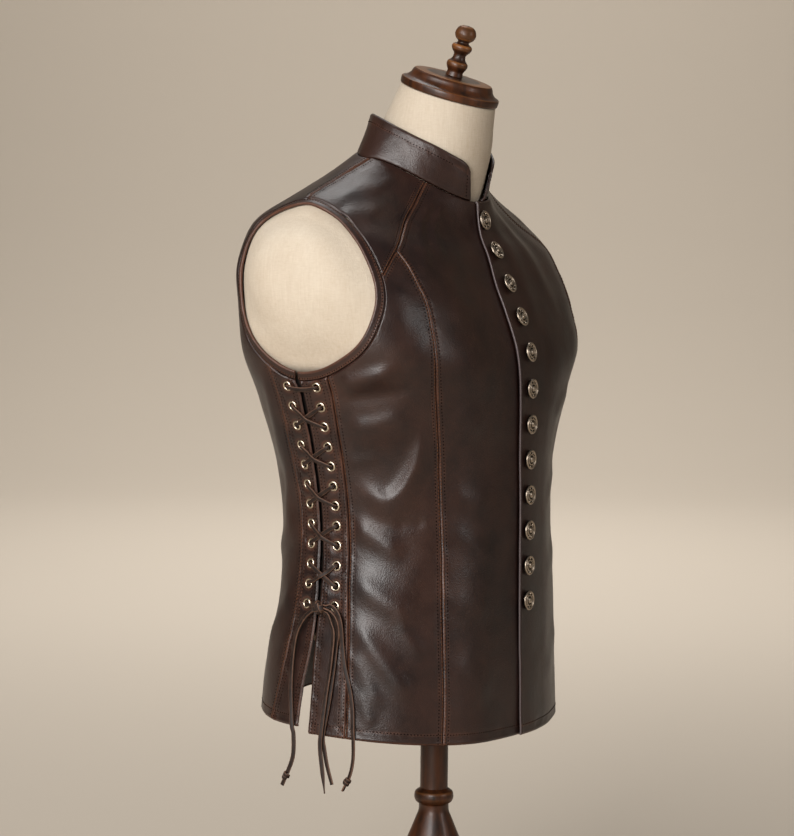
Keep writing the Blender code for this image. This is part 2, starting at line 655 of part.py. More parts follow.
def make_bindings():
    """Folded strip round each armhole, thicker than the panels it closes; the lacing gap parts it."""
    behind, before = 16, 18
    half, soft = BINDING_WALL / 2, 0.0018
    section = [(0.0, 0.0), (soft, half), (BINDING_WIDTH - soft / 2, half), (BINDING_WIDTH, 0.0),
               (soft, -half)]
    shoulder = float(len(ARMHOLE))
    places = [AT_GAP_BACK + (shoulder - AT_GAP_BACK) * k / behind for k in range(behind)]
    places += [shoulder + AT_GAP_FRONT * k / before for k in range(before + 1)]
    frames = []
    for place in places:
        mark = armhole(place)
        normal = outward(*mark)
        far = skin(*armhole(place, BINDING_WIDTH))
        wide = (far - skin(*mark)).normalized()
        high = (normal - wide * normal.dot(wide)).normalized()
        frames.append((skin(*mark) - normal * WALL / 2, wide, high))
    for side, word in ((1, "right"), (-1, "left")):
        swept(f"armhole_binding_{word}", frames, section, LEATHER, side)


def collar_point(up, turn, out=0.0):
    """Point of the collar from its seam (0) to its top edge (1), moved off its outer face by out."""
    def outer(u, t):
        rise = along(COLLAR_RISE, around_turn(t) / COLLAR_RISE[1][0])[1]
        return on_ring(RINGS[-1], t).lerp(on_ring(COLLAR_TOP, t) + Vector((0, 0, rise)), u)
    point = outer(up, turn)
    if out:
        around = outer(up, turn + 1) - outer(up, turn - 1)
        rise = outer(min(up + 0.1, 1.2), turn) - outer(up - 0.1, turn)
        point = point + rise.cross(around).normalized() * out
    return point


def make_collar():
    """Stand collar in one strip from the right front edge round the back to the left one."""
    columns, rows, corner_columns = 28, 3, 2
    low_turn, high_turn = 8.5, 19.5
    grid_out, grid_in = [], []
    for j in range(rows + 1):
        for i in range(columns + 1):
            u = i / columns
            ease = u - 0.35 * math.sin(4 * math.pi * u) / (4 * math.pi)
            up = j / rows
            start = low_turn + (high_turn - low_turn) * up
            turn = start + (360 - 2 * start) * ease
            end = min(u, 1 - u) * columns
            short = 0.0
            if end < corner_columns:
                t = 1 - end / corner_columns
                short = COLLAR_CORNER / COLLAR_HEIGHT * (1 - math.sqrt(max(1 - t * t, 0.0)))
            level = SEAM_GAP / COLLAR_HEIGHT
            level += (1 - level - short) * up
            grid_out.append(collar_point(level, turn))
            grid_in.append(collar_point(level, turn, -COLLAR_WALL))
    width = columns + 1
    faces = [[j * width + i, j * width + i + 1, (j + 1) * width + i + 1, (j + 1) * width + i]
             for j in range(rows) for i in range(columns)]
    wall("collar", grid_out, grid_in, faces, faces, 1)


def turned(name, profile, axis_place, axis, sides, finish):
    """Solid of revolution from (distance along the axis, radius) pairs."""
    axis = axis.normalized()
    across = axis.orthogonal().normalized() if abs(axis.x) > 0.9 else Vector((1, 0, 0))
    across = (across - axis * across.dot(axis)).normalized()
    other = axis.cross(across)
    points, rings = [], []
    for far, radius in profile:
        if radius <= 0:
            rings.append([len(points)])
            points.append(axis_place + axis * far)
            continue
        rings.append(list(range(len(points), len(points) + sides)))
        for i in range(sides):
            angle = 2 * math.pi * i / sides
            spoke = across * math.cos(angle) + other * math.sin(angle)
            points.append(axis_place + axis * far + spoke * radius)
    faces = []
    for a, b in zip(rings, rings[1:]):
        for i in range(sides):
            j = (i + 1) % sides
            if len(a) == 1:
                faces.append([a[0], b[i], b[j]])
            elif len(b) == 1:
                faces.append([a[i], b[0], a[j]])
            else:
                faces.append([a[i], b[i], b[j], a[j]])
    for ring in (rings[0], rings[-1]):
        if len(ring) > 1:
            faces.append(ring)
    return make(name, points, faces, finish)


def make_buttons():
    """Domed shank buttons down the centre front of the lapping side."""
    shank, back, edge, shoulder, dome = 0.0005, 0.0014, 0.0028, 0.0042, 0.0052
    shank_radius = 0.0034
    profile = [(shank, shank_radius), (back, shank_radius), (back, BUTTON_RADIUS - 0.0003),
               (edge, BUTTON_RADIUS), (shoulder, BUTTON_RADIUS * 0.68), (dome, 0.0)]
    fine = [skin(FIRST_BUTTON_LEVEL * (1 - i / 400), 0.0) for i in range(401)]
    length, wanted = 0.0, 0
    for i, (a, b) in enumerate(zip(fine, fine[1:])):
        if wanted < BUTTONS and length >= wanted * BUTTON_PITCH:
            level = FIRST_BUTTON_LEVEL * (1 - i / 400)
            place, normal = skin(level, 0.0, LAP_RISE), outward(level, 0.0)
            turned(f"button_{wanted + 1:02d}", profile, place, normal, 12, METAL)
            wanted += 1
        length += (b - a).length


def lace_route():
    """Corners of a thong: it goes in and out of the eyelets and crosses over the opening."""
    columns = {part: eyelet_marks(*band_grid(*edges)) for part, edges in BAND_EDGES.items()}
    other = {"front": "back", "back": "front"}
    top = EYELET_RISE + THONG_CLEAR + THONG_THICK / 2
    low = -(WALL + THONG_CLEAR + THONG_THICK / 2)
    over = top + THONG_THICK + THONG_CLEAR
    order, word = [], "back"
    for pair in range(EYELETS, 0, -2):
        order += [(pair, word), (pair - 1, word)]
        word = other[word]
    down = [(pair, other[word]) for pair, word in reversed(order)]
    return columns, order + down, top, low, over


def make_laces():
    columns, stops, top, low, over = lace_route()
    knot_mark, knot_centre = knot_place(columns)
    corners = []

    def corner(mark, out):
        corners.append((Mark(*mark), out))

    def between(a, b, t):
        return Mark(*(p + (q - p) * t for p, q in zip(a, b)))

    count = len(stops)
    for n, (pair, word) in enumerate(stops):
        mark = columns[word][pair - 1]
        comes_out = n % 2 == 1
        if n == 0 or n == count - 1:
            reach = (skin(*knot_mark) - skin(*mark)).length
            start = between(mark, knot_mark, 1 - (KNOT_SIZE.x / 2 + SEAM_GAP * 2) / reach)
            if n == 0:
                corner(start, top + 0.0006)
                corner(mark, top)
                corner(mark, low)
            else:
                corner(mark, low)
                corner(mark, top)
                corner(start, top + 0.0006)
            continue
        if comes_out:
            corner(mark, low)
            corner(mark, top)
            following = stops[n + 1]
            other = columns[following[1]][following[0] - 1]
            if following[0] != pair:
                upper = word if pair < following[0] else following[1]
                goes_over = (upper == "back") != ({pair, following[0]} == LOWEST_CROSSING)
                height = over if goes_over else top
                corner(between(mark, other, 0.30), height)
                corner(between(mark, other, 0.50), height)
                corner(between(mark, other, 0.70), height)
            else:
                corner(between(mark, other, 0.33), top)
                corner(between(mark, other, 0.67), top)
        else:
            corner(mark, top)
            corner(mark, low)
    points = [skin(*mark, out) for mark, out in corners]
    frames = []
    for k, point in enumerate(points):
        before = points[max(k - 1, 0)]
        after = points[min(k + 1, len(points) - 1)]
        ahead = (after - before).normalized()
        normal = outward(*corners[k][0])
        come, go = point - before, after - point
        flat = [step - normal * step.dot(normal) for step in (come, go)]
        along_leather = max(flat, key=lambda step: step.length).normalized()
        wide = normal.cross(along_leather).normalized()
        high = ahead.cross(wide).normalized()
        frames.append((point, wide, high))
    w, t = THONG_WIDTH / 2, THONG_THICK / 2
    section = [(-w, -t), (w, -t), (w, t), (-w, t)]
    for side, name in ((1, "lace_right"), (-1, "lace_left")):
        swept(name, frames, section, THONG, side)


def knot_place(columns):
    low_front, low_back = columns["front"][EYELETS - 1], columns["back"][EYELETS - 1]
    mark = Mark(*((a + b) / 2 for a, b in zip(low_front, low_back)))
    mark = walk(mark, KNOT_SHIFT)
    return mark, skin(*mark, KNOT_OUT)


def knot_axes(mark):
    """Directions of a knot: along the leather to the front, up, and away from the leather."""
    out = outward(*mark)
    out = Vector((out.x, out.y, 0)).normalized()
    up = Vector((0, 0, 1))
    forward = up.cross(out).normalized()
    return forward, up, out


def make_knots():
    columns = lace_route()[0]
    mark, centre = knot_place(columns)
    axes = knot_axes(mark)
    for side, name in ((1, "knot_right"), (-1, "knot_left")):
        bm = bmesh.new()
        bmesh.ops.create_cube(bm, size=1.0)
        for vert in bm.verts:
            parts = [axis * size * part for axis, size, part in zip(axes, KNOT_SIZE, vert.co)]
            vert.co = sum(parts, Vector())
        bmesh.ops.bevel(bm, geom=bm.edges[:], offset=0.0016, affect="EDGES", segments=2,
                        profile=0.5, material=-1)
        bmesh.ops.translate(bm, verts=bm.verts, vec=centre)
        bmesh.ops.scale(bm, verts=bm.verts, vec=(side, 1, 1))
        finish_mesh(name, bm, THONG)


def tail_points(tail, knot_mark, knot_centre):
    """Smooth route of one hanging end at even steps, from the knot's side to its tip."""
    axes = knot_axes(knot_mark)
    forward, up, _ = axes
    rough = [knot_centre + sum((axis * far for axis, far in zip(axes, tail.start)), Vector())]
    rough += [skin(h.level, h.turn, h.out + 0.0004) for h in tail.route]
    last = rough[-1]
    rough += [last + forward * ahead - up * down for ahead, down in tail.below]
    fine = [Vector(along(rough, i * (len(rough) - 1) / 200)) for i in range(201)]
    points, travelled = [fine[0]], 0.0
    total = sum((b - a).length for a, b in zip(fine, fine[1:]))
    steps = max(2, round(total / TAIL_STEP))
    for a, b in zip(fine, fine[1:]):
        travelled += (b - a).length
        if travelled >= total * len(points) / steps - 1e-9 and len(points) <= steps:
            points.append(b)
    points[-1] = fine[-1]
    return points


def make_tails():
    columns = lace_route()[0]
    mark, centre = knot_place(columns)
    ball = END_KNOT_RADIUS
    bead = [(SEAM_GAP, 0.0016), (ball * 0.5, ball * 0.86), (ball, ball), (ball * 1.5, ball * 0.86),
            (ball * 2.0, 0.0018), (ball * 2.0 + END_KNOT_LIFT * 0.6, 0.0020)]
    for tail in TAILS:
        points = tail_points(tail, mark, centre)
        for side, word in ((1, "right"), (-1, "left")):
            route = mirrored(points, side)
            if tail.knotted:
                tip = route.pop()
                turned(f"tail_{tail.name}_knot_{word}", bead, route[-1], tip - route[-1], 8, THONG)
            tube(f"tail_{tail.name}_{word}", route, TAIL_RADIUS, THONG)


def tube(name, points, radius, finish):
    curve = bpy.data.curves.new(name, "CURVE")
    curve.dimensions = "3D"
    curve.bevel_depth = radius
    curve.bevel_resolution = 1
    curve.use_fill_caps = True
    spline = curve.splines.new("POLY")
    spline.points.add(len(points) - 1)
    for spot, point in zip(spline.points, points):
        spot.co = (*point, 1.0)
    curve.materials.append(material(finish))
    thing = bpy.data.objects.new(name, curve)
    bpy.context.collection.objects.link(thing)
    return thing


def form_inset(level, turn):
    """How far the form lies inside the vest; it bulges out of the armholes."""
    turn = around_turn(turn)
    shoulders = smooth(8.6, 10.2, level) * smooth(22, 48, turn)
    armholes = smooth(5.3, 6.3, level) * smooth(40, 56, turn) * smooth(136, 122, turn)
    inside_hole = 1 - ((turn - 91) / 31) ** 2 - ((level - 7.7) / 1.7) ** 2
    return (FORM_INSET + (FORM_SEAT - FORM_INSET) * max(shoulders, armholes)
            + FORM_NECK_DROP * smooth(10.6, 11.6, level)
            - FORM_BULGE * smooth(-0.25, 1.0, inside_hole))


def make_form():
    """Canvas torso with its neck, in one body that ends above the hem; gives its underside's height."""
    sides, body_rings, last_level = 32, 14, 11.5
    turns = [360 * i / sides for i in range(sides)]
    rings = []
    for k in range(body_rings + 1):
        level = FORM_BOTTOM_LEVEL + (last_level - FORM_BOTTOM_LEVEL) * k / body_rings
        rings.append([skin(level, turn, -form_inset(level, turn)) for turn in turns])
    bottom = HEM_HEIGHT + along(RINGS, FORM_BOTTOM_LEVEL)[0] - FORM_FLOOR_DROP
    middle = sum(rings[0], Vector()) / sides
    rings.insert(0, [Vector((*middle.lerp(point, 0.90).xy, bottom)) for point in rings[0]])
    neck = RINGS[-1]
    root = neck._replace(
        half_width=neck.half_width - FORM_NECK_INSET, front=neck.front - FORM_NECK_INSET,
        back=neck.back - FORM_NECK_INSET, height=neck.height - 0.001)
    rings.append([on_ring(root, turn) for turn in turns])
    lean = Vector((0, -math.sin(NECK_LEAN), math.cos(NECK_LEAN)))
    back = Vector((0, math.cos(NECK_LEAN), math.sin(NECK_LEAN)))
    for far, radius in ((-0.042, 0.0562), (-0.020, 0.0520), (0.0, 0.0484)):
        centre = NECK_TOP + lean * far
        rings.append([centre - Vector((radius * math.sin(math.radians(turn)), 0, 0))
                      - back * radius * math.cos(math.radians(turn)) for turn in turns])
    points = [point for ring in rings for point in ring]
    faces = []
    for k in range(len(rings) - 1):
        for i in range(sides):
            j = (i + 1) % sides
            faces.append([k * sides + i, k * sides + j, (k + 1) * sides + j, (k + 1) * sides + i])
    faces.append(list(range(sides)))
    faces.append([(len(rings) - 1) * sides + i for i in range(sides)])
    make("form_torso", points, faces, CANVAS)
    return bottom


def make_stand(form_bottom):
    """Cap and finial on the leaning neck, and the post and base below."""
    lean = Vector((0, -math.sin(NECK_LEAN), math.cos(NECK_LEAN)))
    seat = NECK_TOP + lean * SEAM_GAP
    turned("neck_cap", CAP, seat, lean, 24, WALNUT)
    turned("finial", FINIAL, seat + lean * (CAP_HEIGHT + SEAM_GAP), lean, 12, WALNUT)
    up = Vector((0, 0, 1))
    post = POST + [(form_bottom - SEAM_GAP, POST_RADIUS)]
    turned("post", post, Vector(), up, 16, WALNUT)
    turned("base", BASE, Vector(), up, 32, WALNUT)


def main():
    for thing in list(bpy.data.objects):
        bpy.data.objects.remove(thing, do_unlink=True)
    make_fronts()
    make_side_fronts()
    make_yokes()
    make_backs()
    make_bands()
    make_bindings()
    make_collar()
    make_buttons()
    make_laces()
    make_knots()
    make_tails()
    make_stand(make_form())


main()
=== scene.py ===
"""Looks of a medieval leather vest laced at both sides, on a canvas form with a turned stand.

The wearer faces -Y with their right side at -X. Marks on the leather are a level of the vest's
rings and a turn in degrees from the centre front towards the wearer's right; the left half is
mirrored.
"""
import math
from collections import namedtuple

import bmesh
import bpy
import numpy as np
from mathutils import Matrix, Vector, noise


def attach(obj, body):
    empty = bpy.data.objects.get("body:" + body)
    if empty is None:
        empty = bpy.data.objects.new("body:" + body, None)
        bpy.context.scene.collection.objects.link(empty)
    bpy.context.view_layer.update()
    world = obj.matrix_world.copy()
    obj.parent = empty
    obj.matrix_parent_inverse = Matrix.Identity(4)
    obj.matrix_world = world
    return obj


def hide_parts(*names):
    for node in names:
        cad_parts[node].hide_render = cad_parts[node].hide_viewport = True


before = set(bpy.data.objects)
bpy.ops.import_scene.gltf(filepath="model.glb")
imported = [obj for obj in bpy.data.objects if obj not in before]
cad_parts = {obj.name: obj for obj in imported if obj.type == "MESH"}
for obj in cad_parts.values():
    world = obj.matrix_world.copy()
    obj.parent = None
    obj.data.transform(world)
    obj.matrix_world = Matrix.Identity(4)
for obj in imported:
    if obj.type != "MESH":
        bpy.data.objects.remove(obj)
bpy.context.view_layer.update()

SIDES = ((1, "right"), (-1, "left"))

# Sizes of the vest, as in the part's own source, in metres
HEM_HEIGHT = 0.250
WALL = 0.0020
LAP_RISE = 0.0038
CENTRE_DIP = 0.0050
BINDING_WIDTH = 0.0080
BINDING_GAP = 0.0012
COLLAR_WALL = 0.0026
COLLAR_CORNER = 0.009
COLLAR_HEIGHT = 0.036
COLLAR_TUCK = 0.02
BUTTONS = 12
BUTTON_RADIUS = 0.0098
BUTTON_PITCH = 0.0349
FIRST_BUTTON_LEVEL = 10.8
PETALS = 8
EYELETS = 12
EYELET_TOP = 0.3415
EYELET_PITCH = 0.0192
EYELET_HOLE = 0.0031
EYELET_RIM = 0.0052
EYELET_RISE = 0.0009
EYELET_SHARES = {"front": 0.565, "back": 0.47}
THONG_WIDTH = 0.0042
THONG_THICK = 0.0018
THONG_CLEAR = 0.0004
RIBBON_POWER = 0.55
# How far a thong leans from an eyelet's middle above and below the leather, and how far it sags
LACE_LEAN, LACE_BACK, LACE_SAG = 0.0024, 0.0008, 0.0022
LOWEST_CROSSING = {10, 11}
SEAM_GAP = 0.0006
FORM_BOTTOM_LEVEL = 1.6
FORM_INSET = 0.0066
FORM_SEAT = 0.0034
FORM_NECK_INSET = 0.0058
FORM_NECK_DROP = 0.0014
FORM_BULGE = 0.0100
FORM_FLOOR_DROP = 0.012
NECK_LEAN = math.radians(17.5)
NECK_TOP = np.array((0.0, -0.0075, 0.8740))
CAP_HEIGHT = 0.0186
BASE_RADIUS = 0.205

# The vest's rings from hem to neck: height over the hem, place of the middle, half width, depth to
# the front and the back, squareness, fall of the ring at the front and its rise at the back
RINGS = np.array([
    (0.0065, 0.032, 0.176, 0.1380, 0.1290, 2.15, 0.0125, 0.0075),
    (0.0650, 0.030, 0.170, 0.1350, 0.1260, 2.15, 0.004, 0.007),
    (0.1300, 0.024, 0.163, 0.1280, 0.1200, 2.12, 0.002, 0.002),
    (0.2000, 0.023, 0.155, 0.1270, 0.1245, 2.05, 0.000, 0.000),
    (0.2650, 0.027, 0.163, 0.1310, 0.1270, 2.05, 0.000, 0.000),
    (0.3250, 0.031, 0.181, 0.1360, 0.1260, 2.40, 0.000, 0.000),
    (0.3750, 0.033, 0.197, 0.1360, 0.1250, 2.95, 0.004, 0.000),
    (0.4200, 0.035, 0.204, 0.1255, 0.1240, 2.95, 0.010, 0.002),
    (0.4550, 0.038, 0.204, 0.1165, 0.1210, 2.85, 0.018, 0.006),
    (0.4900, 0.041, 0.197, 0.1065, 0.1090, 2.45, 0.025, 0.008),
    (0.5160, 0.045, 0.177, 0.0970, 0.0780, 1.85, 0.031, 0.010),
    (0.5400, 0.042, 0.122, 0.0870, 0.0540, 1.85, 0.037, 0.010),
    (0.5610, 0.035, 0.077, 0.0778, 0.0420, 2.00, 0.042, 0.010),
])
# How far each front passes the centre, ring by ring
LAP = [(0.0100,), (0.0110,), (0.0120,), (0.0130,), (0.0150,), (0.0180,), (0.0215,), (0.0230,),
       (0.0215,), (0.0150,), (0.0090,), (0.0065,), (0.0070,)]
COLLAR_TOP = np.array((0.5867, 0.006, 0.0625, 0.0575, 0.0660, 2.00, 0.0, 0.0))
# Turn from the centre front and rise of the collar's top edge there
COLLAR_RISE = [
    (0, -0.0355), (10, -0.0343), (20, -0.0318), (30, -0.0280), (40, -0.0233), (50, -0.0180),
    (60, -0.0128), (70, -0.0080), (80, -0.0034), (90, 0.0014), (100, 0.0062), (110, 0.0108),
    (120, 0.0146), (130, 0.0172), (140, 0.0187), (150, 0.0188), (160, 0.0175), (170, 0.0154),
    (180, 0.0142),
]
NECK_LEVEL = len(RINGS) - 1
ARMHOLE = np.array([
    (9.97, 93), (9.9, 81), (9.6, 69.5), (9.02, 61.5), (8.5, 57.5), (8, 55.7),
    (7.5, 55.9), (7, 58), (6.5, 62.5), (6.15, 68), (5.88, 75.5), (5.68, 84),
    (5.6, 93), (5.66, 100.5), (5.82, 107.5), (6.05, 114), (6.38, 119.8), (6.85, 124.5),
    (7.45, 126), (8.15, 125.2), (8.75, 122.8), (9.28, 118), (9.68, 108.5),
])
AT_SHOULDER, AT_YOKE, AT_BAND_FRONT = 0, 5, 10.9
AT_GAP_FRONT, AT_GAP_BACK, AT_BAND_BACK = 12.32, 12.52, 14.2
PRINCESS = [(0, 40), (0.9, 40.5), (2.2, 43), (3.2, 44.8), (4.5, 43.7), (5.2, 43),
            (5.9, 41.8), (6.6, 40.3), (7.5, 39.5), (8.4, 41.8), (8.95, 45.5)]
CHEST_SEAM = [(12, 48.5), (11, 43.6), (10.1, 41.2), (9.5, 42.6), (8.95, 45.5)]
SHOULDER_SEAM = [(9.97, 93), (10.5, 94), (11, 94), (11.5, 92.5), (12, 90.5)]
BAND_FRONT = [(0, 76.5), (0.6, 77), (1.2, 78.2), (1.8, 80.3), (2.4, 82.4), (3, 83.5),
              (3.6, 83.3), (4.4, 82.5), (5.1, 81.6)]
BAND_BACK = [(0.06, 118), (0.5, 114.6), (1.1, 111.8), (1.8, 111), (2.4, 110.5), (3, 110),
             (4, 109.8), (5.1, 109)]
GAP_FRONT = [(0, 93.5), (0.8, 93.8), (1.35, 95), (1.85, 95.8), (2.4, 96.2), (3.1, 97.1),
             (3.8, 96.5), (4.5, 95.5), (5.2, 95.1)]
GAP_BACK = [(0.085, 99.4), (0.8, 98.2), (1.35, 96.7), (1.85, 96.9), (2.4, 97.7), (3.1, 98.5),
            (3.8, 97.8), (4.5, 96.9), (5.2, 96.5)]
# For each lacing band: the marks of its laced edge and of its outer edge, and where the armhole
# meets them
BANDS = (("front", GAP_FRONT, BAND_FRONT, AT_GAP_FRONT, AT_BAND_FRONT),
         ("back", GAP_BACK, BAND_BACK, AT_GAP_BACK, AT_BAND_BACK))

# Folds: soft ridges or troughs along marks, with half width and height. The first six of the left
# side panel are the part's own. The right one's are 8 to 21 mm lower than the part's, as in the
# photo. A degree of turn counts as TURN_LENGTH along the side.
Fold = namedtuple("Fold", "width height marks")
TURN_LENGTH = 0.003
SIDE_FOLDS = {
    1: [
        Fold(0.0085, 0.0032, [(5.3, 79), (5.4, 71), (5.55, 62), (5.72, 52)]),
        Fold(0.015, 0.0034, [(4.48, 80), (4.54, 72), (4.6, 64), (4.7, 56), (4.9, 49)]),
        Fold(0.0125, 0.0042, [(4.75, 46.5), (4.3, 50), (3.86, 54.5), (3.54, 60), (3.44, 66),
                              (3.6, 73), (3.86, 81)]),
        Fold(0.011, 0.0032, [(3.14, 82.5), (3.02, 75), (2.88, 67), (2.72, 58)]),
        Fold(0.012, 0.0032, [(2.46, 82.5), (2.3, 75), (2.14, 67), (2, 59), (1.9, 52)]),
        Fold(0.011, 0.0032, [(1.9, 80.5), (1.6, 72.5), (1.3, 65.5), (0.92, 57), (0.55, 50)]),
        Fold(0.006, 0.0018, [(5.42, 80), (5.52, 71), (5.66, 61), (5.82, 52)]),
        Fold(0.007, 0.0016, [(4.64, 79), (4.7, 70), (4.78, 62), (4.9, 54)]),
        Fold(0.0065, 0.002, [(4.8, 48), (4.4, 50.5), (3.96, 55.5), (3.66, 61), (3.56, 67),
                              (3.72, 76)]),
        Fold(0.006, -0.0016, [(5.1, 80), (5.16, 68), (5.26, 56), (5.44, 48)]),
        Fold(0.006, -0.0014, [(3.2, 50), (3.16, 57), (3.2, 65)]),
        Fold(0.007, 0.0012, [(4.08, 82), (4.12, 74), (4.2, 66)]),
        Fold(0.008, 0.0013, [(2, 61), (1.58, 54.5), (1.3, 47)]),
        Fold(0.009, 0.0015, [(1.5, 77), (0.95, 69.5), (0.45, 63)]),
        Fold(0.0075, 0.0012, [(0.85, 74), (0.5, 69), (0.2, 66)]),
        Fold(0.012, 0.001, [(8, 47), (7.2, 48.5), (6.5, 52)]),
    ],
    -1: [
        Fold(0.0085, 0.0028, [(5.4, 78), (5.5, 70), (5.7, 60), (5.95, 51)]),
        Fold(0.012, 0.0032, [(4.55, 80), (4.72, 71), (4.98, 61), (5.35, 50)]),
        Fold(0.011, 0.0034, [(4.62, 45.8), (4.22, 51), (3.92, 58), (3.66, 66), (3.62, 77)]),
        Fold(0.011, 0.0028, [(3.08, 82), (3.02, 72), (2.9, 63), (2.62, 53)]),
        Fold(0.01, 0.003, [(2.34, 81), (2, 71), (1.72, 61), (1.3, 51), (0.85, 45)]),
        Fold(0.012, 0.0024, [(1.45, 77), (1.05, 70), (0.6, 63)]),
        Fold(0.006, 0.002, [(5.49, 78), (5.59, 70), (5.79, 60), (6.02, 51)]),
        Fold(0.0065, 0.0022, [(4.66, 80), (4.83, 70), (5.09, 60), (5.44, 51)]),
        Fold(0.0065, 0.0023, [(4.72, 46), (4.31, 51), (4, 58), (3.74, 66), (3.7, 77)]),
        Fold(0.0065, -0.0015, [(5.2, 79), (5.3, 68), (5.48, 56)]),
        Fold(0.006, -0.0014, [(3.4, 49), (3.36, 57), (3.3, 66)]),
        Fold(0.008, 0.0013, [(4.1, 81), (4.14, 73), (4.3, 63)]),
        Fold(0.0075, 0.0012, [(1.75, 60), (1.35, 54), (1, 47.5)]),
        Fold(0.0075, 0.0012, [(0.8, 74), (0.42, 68), (0.2, 65)]),
    ],
}
FRONT_FOLDS = {
    1: [
        Fold(0.012, 0.0012, [(4.95, 38.5), (4.72, 32), (4.5, 24)]),
        Fold(0.011, 0.0013, [(3.62, 40), (3.48, 32), (3.35, 20)]),
        Fold(0.011, 0.0011, [(3.05, 41), (2.88, 32), (2.62, 20)]),
        Fold(0.012, 0.0012, [(2.2, 40), (2.02, 31), (1.85, 20)]),
        Fold(0.013, 0.0012, [(1.3, 38), (0.98, 29), (0.6, 18)]),
        Fold(0.016, 0.0014, [(8.8, 32), (7.6, 28), (6.5, 29)]),
        Fold(0.0075, 0.0016, [(11.6, 38), (10.8, 35.5), (9.9, 34.5), (8.9, 35.5), (7.8, 37.5)]),
        Fold(0.006, 0.0012, [(11.4, 30), (10.6, 28), (9.6, 27.5), (8.6, 28.5)]),
    ],
    -1: [
        Fold(0.011, 0.0016, [(11.2, 26), (10.2, 21.5), (9.3, 20), (8, 21), (6.6, 24)]),
        Fold(0.012, 0.0014, [(11.3, 9.5), (9.9, 9), (8.6, 9.5), (7.2, 9), (6.1, 9.5)]),
        Fold(0.011, 0.0014, [(5.1, 38), (4.86, 30), (4.6, 20)]),
        Fold(0.011, 0.0013, [(3.8, 41), (3.6, 32), (3.3, 18)]),
        Fold(0.012, 0.0013, [(2.7, 41), (2.45, 30), (2.3, 16)]),
        Fold(0.013, 0.0012, [(1.5, 38), (1.15, 28), (0.7, 16)]),
    ],
}
BACK_FOLDS = {
    1: [
        Fold(0.013, 0.0026, [(5.6, 113), (5.05, 116), (4.35, 119), (3.7, 124)]),
        Fold(0.012, 0.0024, [(4.7, 111.5), (4.1, 115), (3.4, 121), (2.9, 130)]),
        Fold(0.013, 0.0024, [(3.3, 112), (2.95, 122), (2.7, 135), (2.6, 150)]),
        Fold(0.014, 0.0022, [(2.3, 113), (1.9, 121), (1.5, 131), (1, 142)]),
        Fold(0.014, 0.002, [(1.6, 150), (1, 152), (0.4, 153)]),
        Fold(0.015, 0.002, [(3.7, 176), (3.55, 160), (3.7, 146)]),
        Fold(0.017, 0.0018, [(8.6, 126), (7.6, 136), (6.6, 150)]),
        Fold(0.016, 0.0016, [(9.8, 118), (9, 132), (8.5, 150)]),
    ],
    -1: [
        Fold(0.012, 0.0025, [(5.45, 112), (4.9, 115.5), (4.1, 118), (3.5, 123)]),
        Fold(0.013, 0.0025, [(4.4, 111.5), (3.9, 117), (3.3, 126), (3, 138)]),
        Fold(0.012, 0.0023, [(3, 112), (2.6, 121), (2.3, 132), (2.2, 146)]),
        Fold(0.014, 0.0022, [(1.9, 114), (1.55, 124), (1.2, 134), (0.8, 146)]),
        Fold(0.014, 0.002, [(3.9, 175), (3.8, 162), (4, 150)]),
        Fold(0.015, 0.0018, [(1.8, 158), (1.1, 160), (0.5, 161)]),
        Fold(0.017, 0.0018, [(8.4, 127), (7.3, 137), (6.3, 149)]),
        Fold(0.015, 0.0015, [(9.7, 120), (9.1, 134), (8.8, 152)]),
    ],
}
YOKE_FOLDS = {
    1: [Fold(0.009, 0.0014, [(10.2, 52), (9.95, 62), (9.75, 72)]),
        Fold(0.01, 0.0013, [(11.4, 60), (10.9, 70), (10.5, 82)])],
    -1: [Fold(0.009, 0.0014, [(10, 50), (9.85, 60), (9.75, 70)]),
         Fold(0.01, 0.0012, [(11.2, 62), (10.8, 73), (10.4, 84)])],
}

# Hanging ends: place beside the knot (forward, up, off the leather), then level, turn and height
# off the leather, then steps past the hem (forward, down)
Tail = namedtuple("Tail", "name start route below knotted")
TAILS = [
    Tail("a", (-0.0061, -0.001, 0.001),
         [(1.8, 100.8, 0.0066), (1.55, 105, 0.004), (1.18, 105.4, 0.0026),
          (0.75, 104.2, 0.0026), (0.38, 102.7, 0.0026), (0.08, 101.2, 0.0028)],
         [(0.002, 0.008), (0.0015, 0.029), (-0.0055, 0.047), (-0.0103, 0.057)], True),
    Tail("b", (0.0061, -0.003, 0.001),
         [(1.89, 88.5, 0.008), (1.77, 86.6, 0.0074), (1.6, 84.8, 0.0068),
          (1.15, 84.2, 0.0064), (0.68, 84.8, 0.0064), (0.04, 85.6, 0.0064)],
         [(-0.0005, 0.015), (0.0017, 0.032), (0.0052, 0.057)], False),
    Tail("c", (0.0061, 0.001, 0.001),
         [(1.93, 87.5, 0.008), (1.83, 84.7, 0.0072), (1.65, 83.3, 0.005),
          (1.46, 83.6, 0.0028), (1.1, 83.4, 0.0026), (0.6, 84, 0.0026),
          (0.04, 85.4, 0.0026)],
         [(0.0017, 0.015), (0.005, 0.03), (0.011, 0.048)], False),
    Tail("d", (0.0061, 0.005, 0.001),
         [(2.01, 87, 0.008), (1.91, 83.9, 0.0076), (1.74, 82.2, 0.006),
          (1.45, 80.9, 0.003), (1.15, 78.8, 0.0026), (0.78, 75.6, 0.0026),
          (0.48, 74.1, 0.0026), (0.16, 73.4, 0.0028)],
         [(0.001, 0.014), (0.0005, 0.03), (-0.0029, 0.044), (-0.01, 0.058)], True),
]
KNOT_WIDTH = 0.0094
KNOT_OUT = 0.0070
KNOT_SHIFT = (0.0, -0.0045, -0.0035)
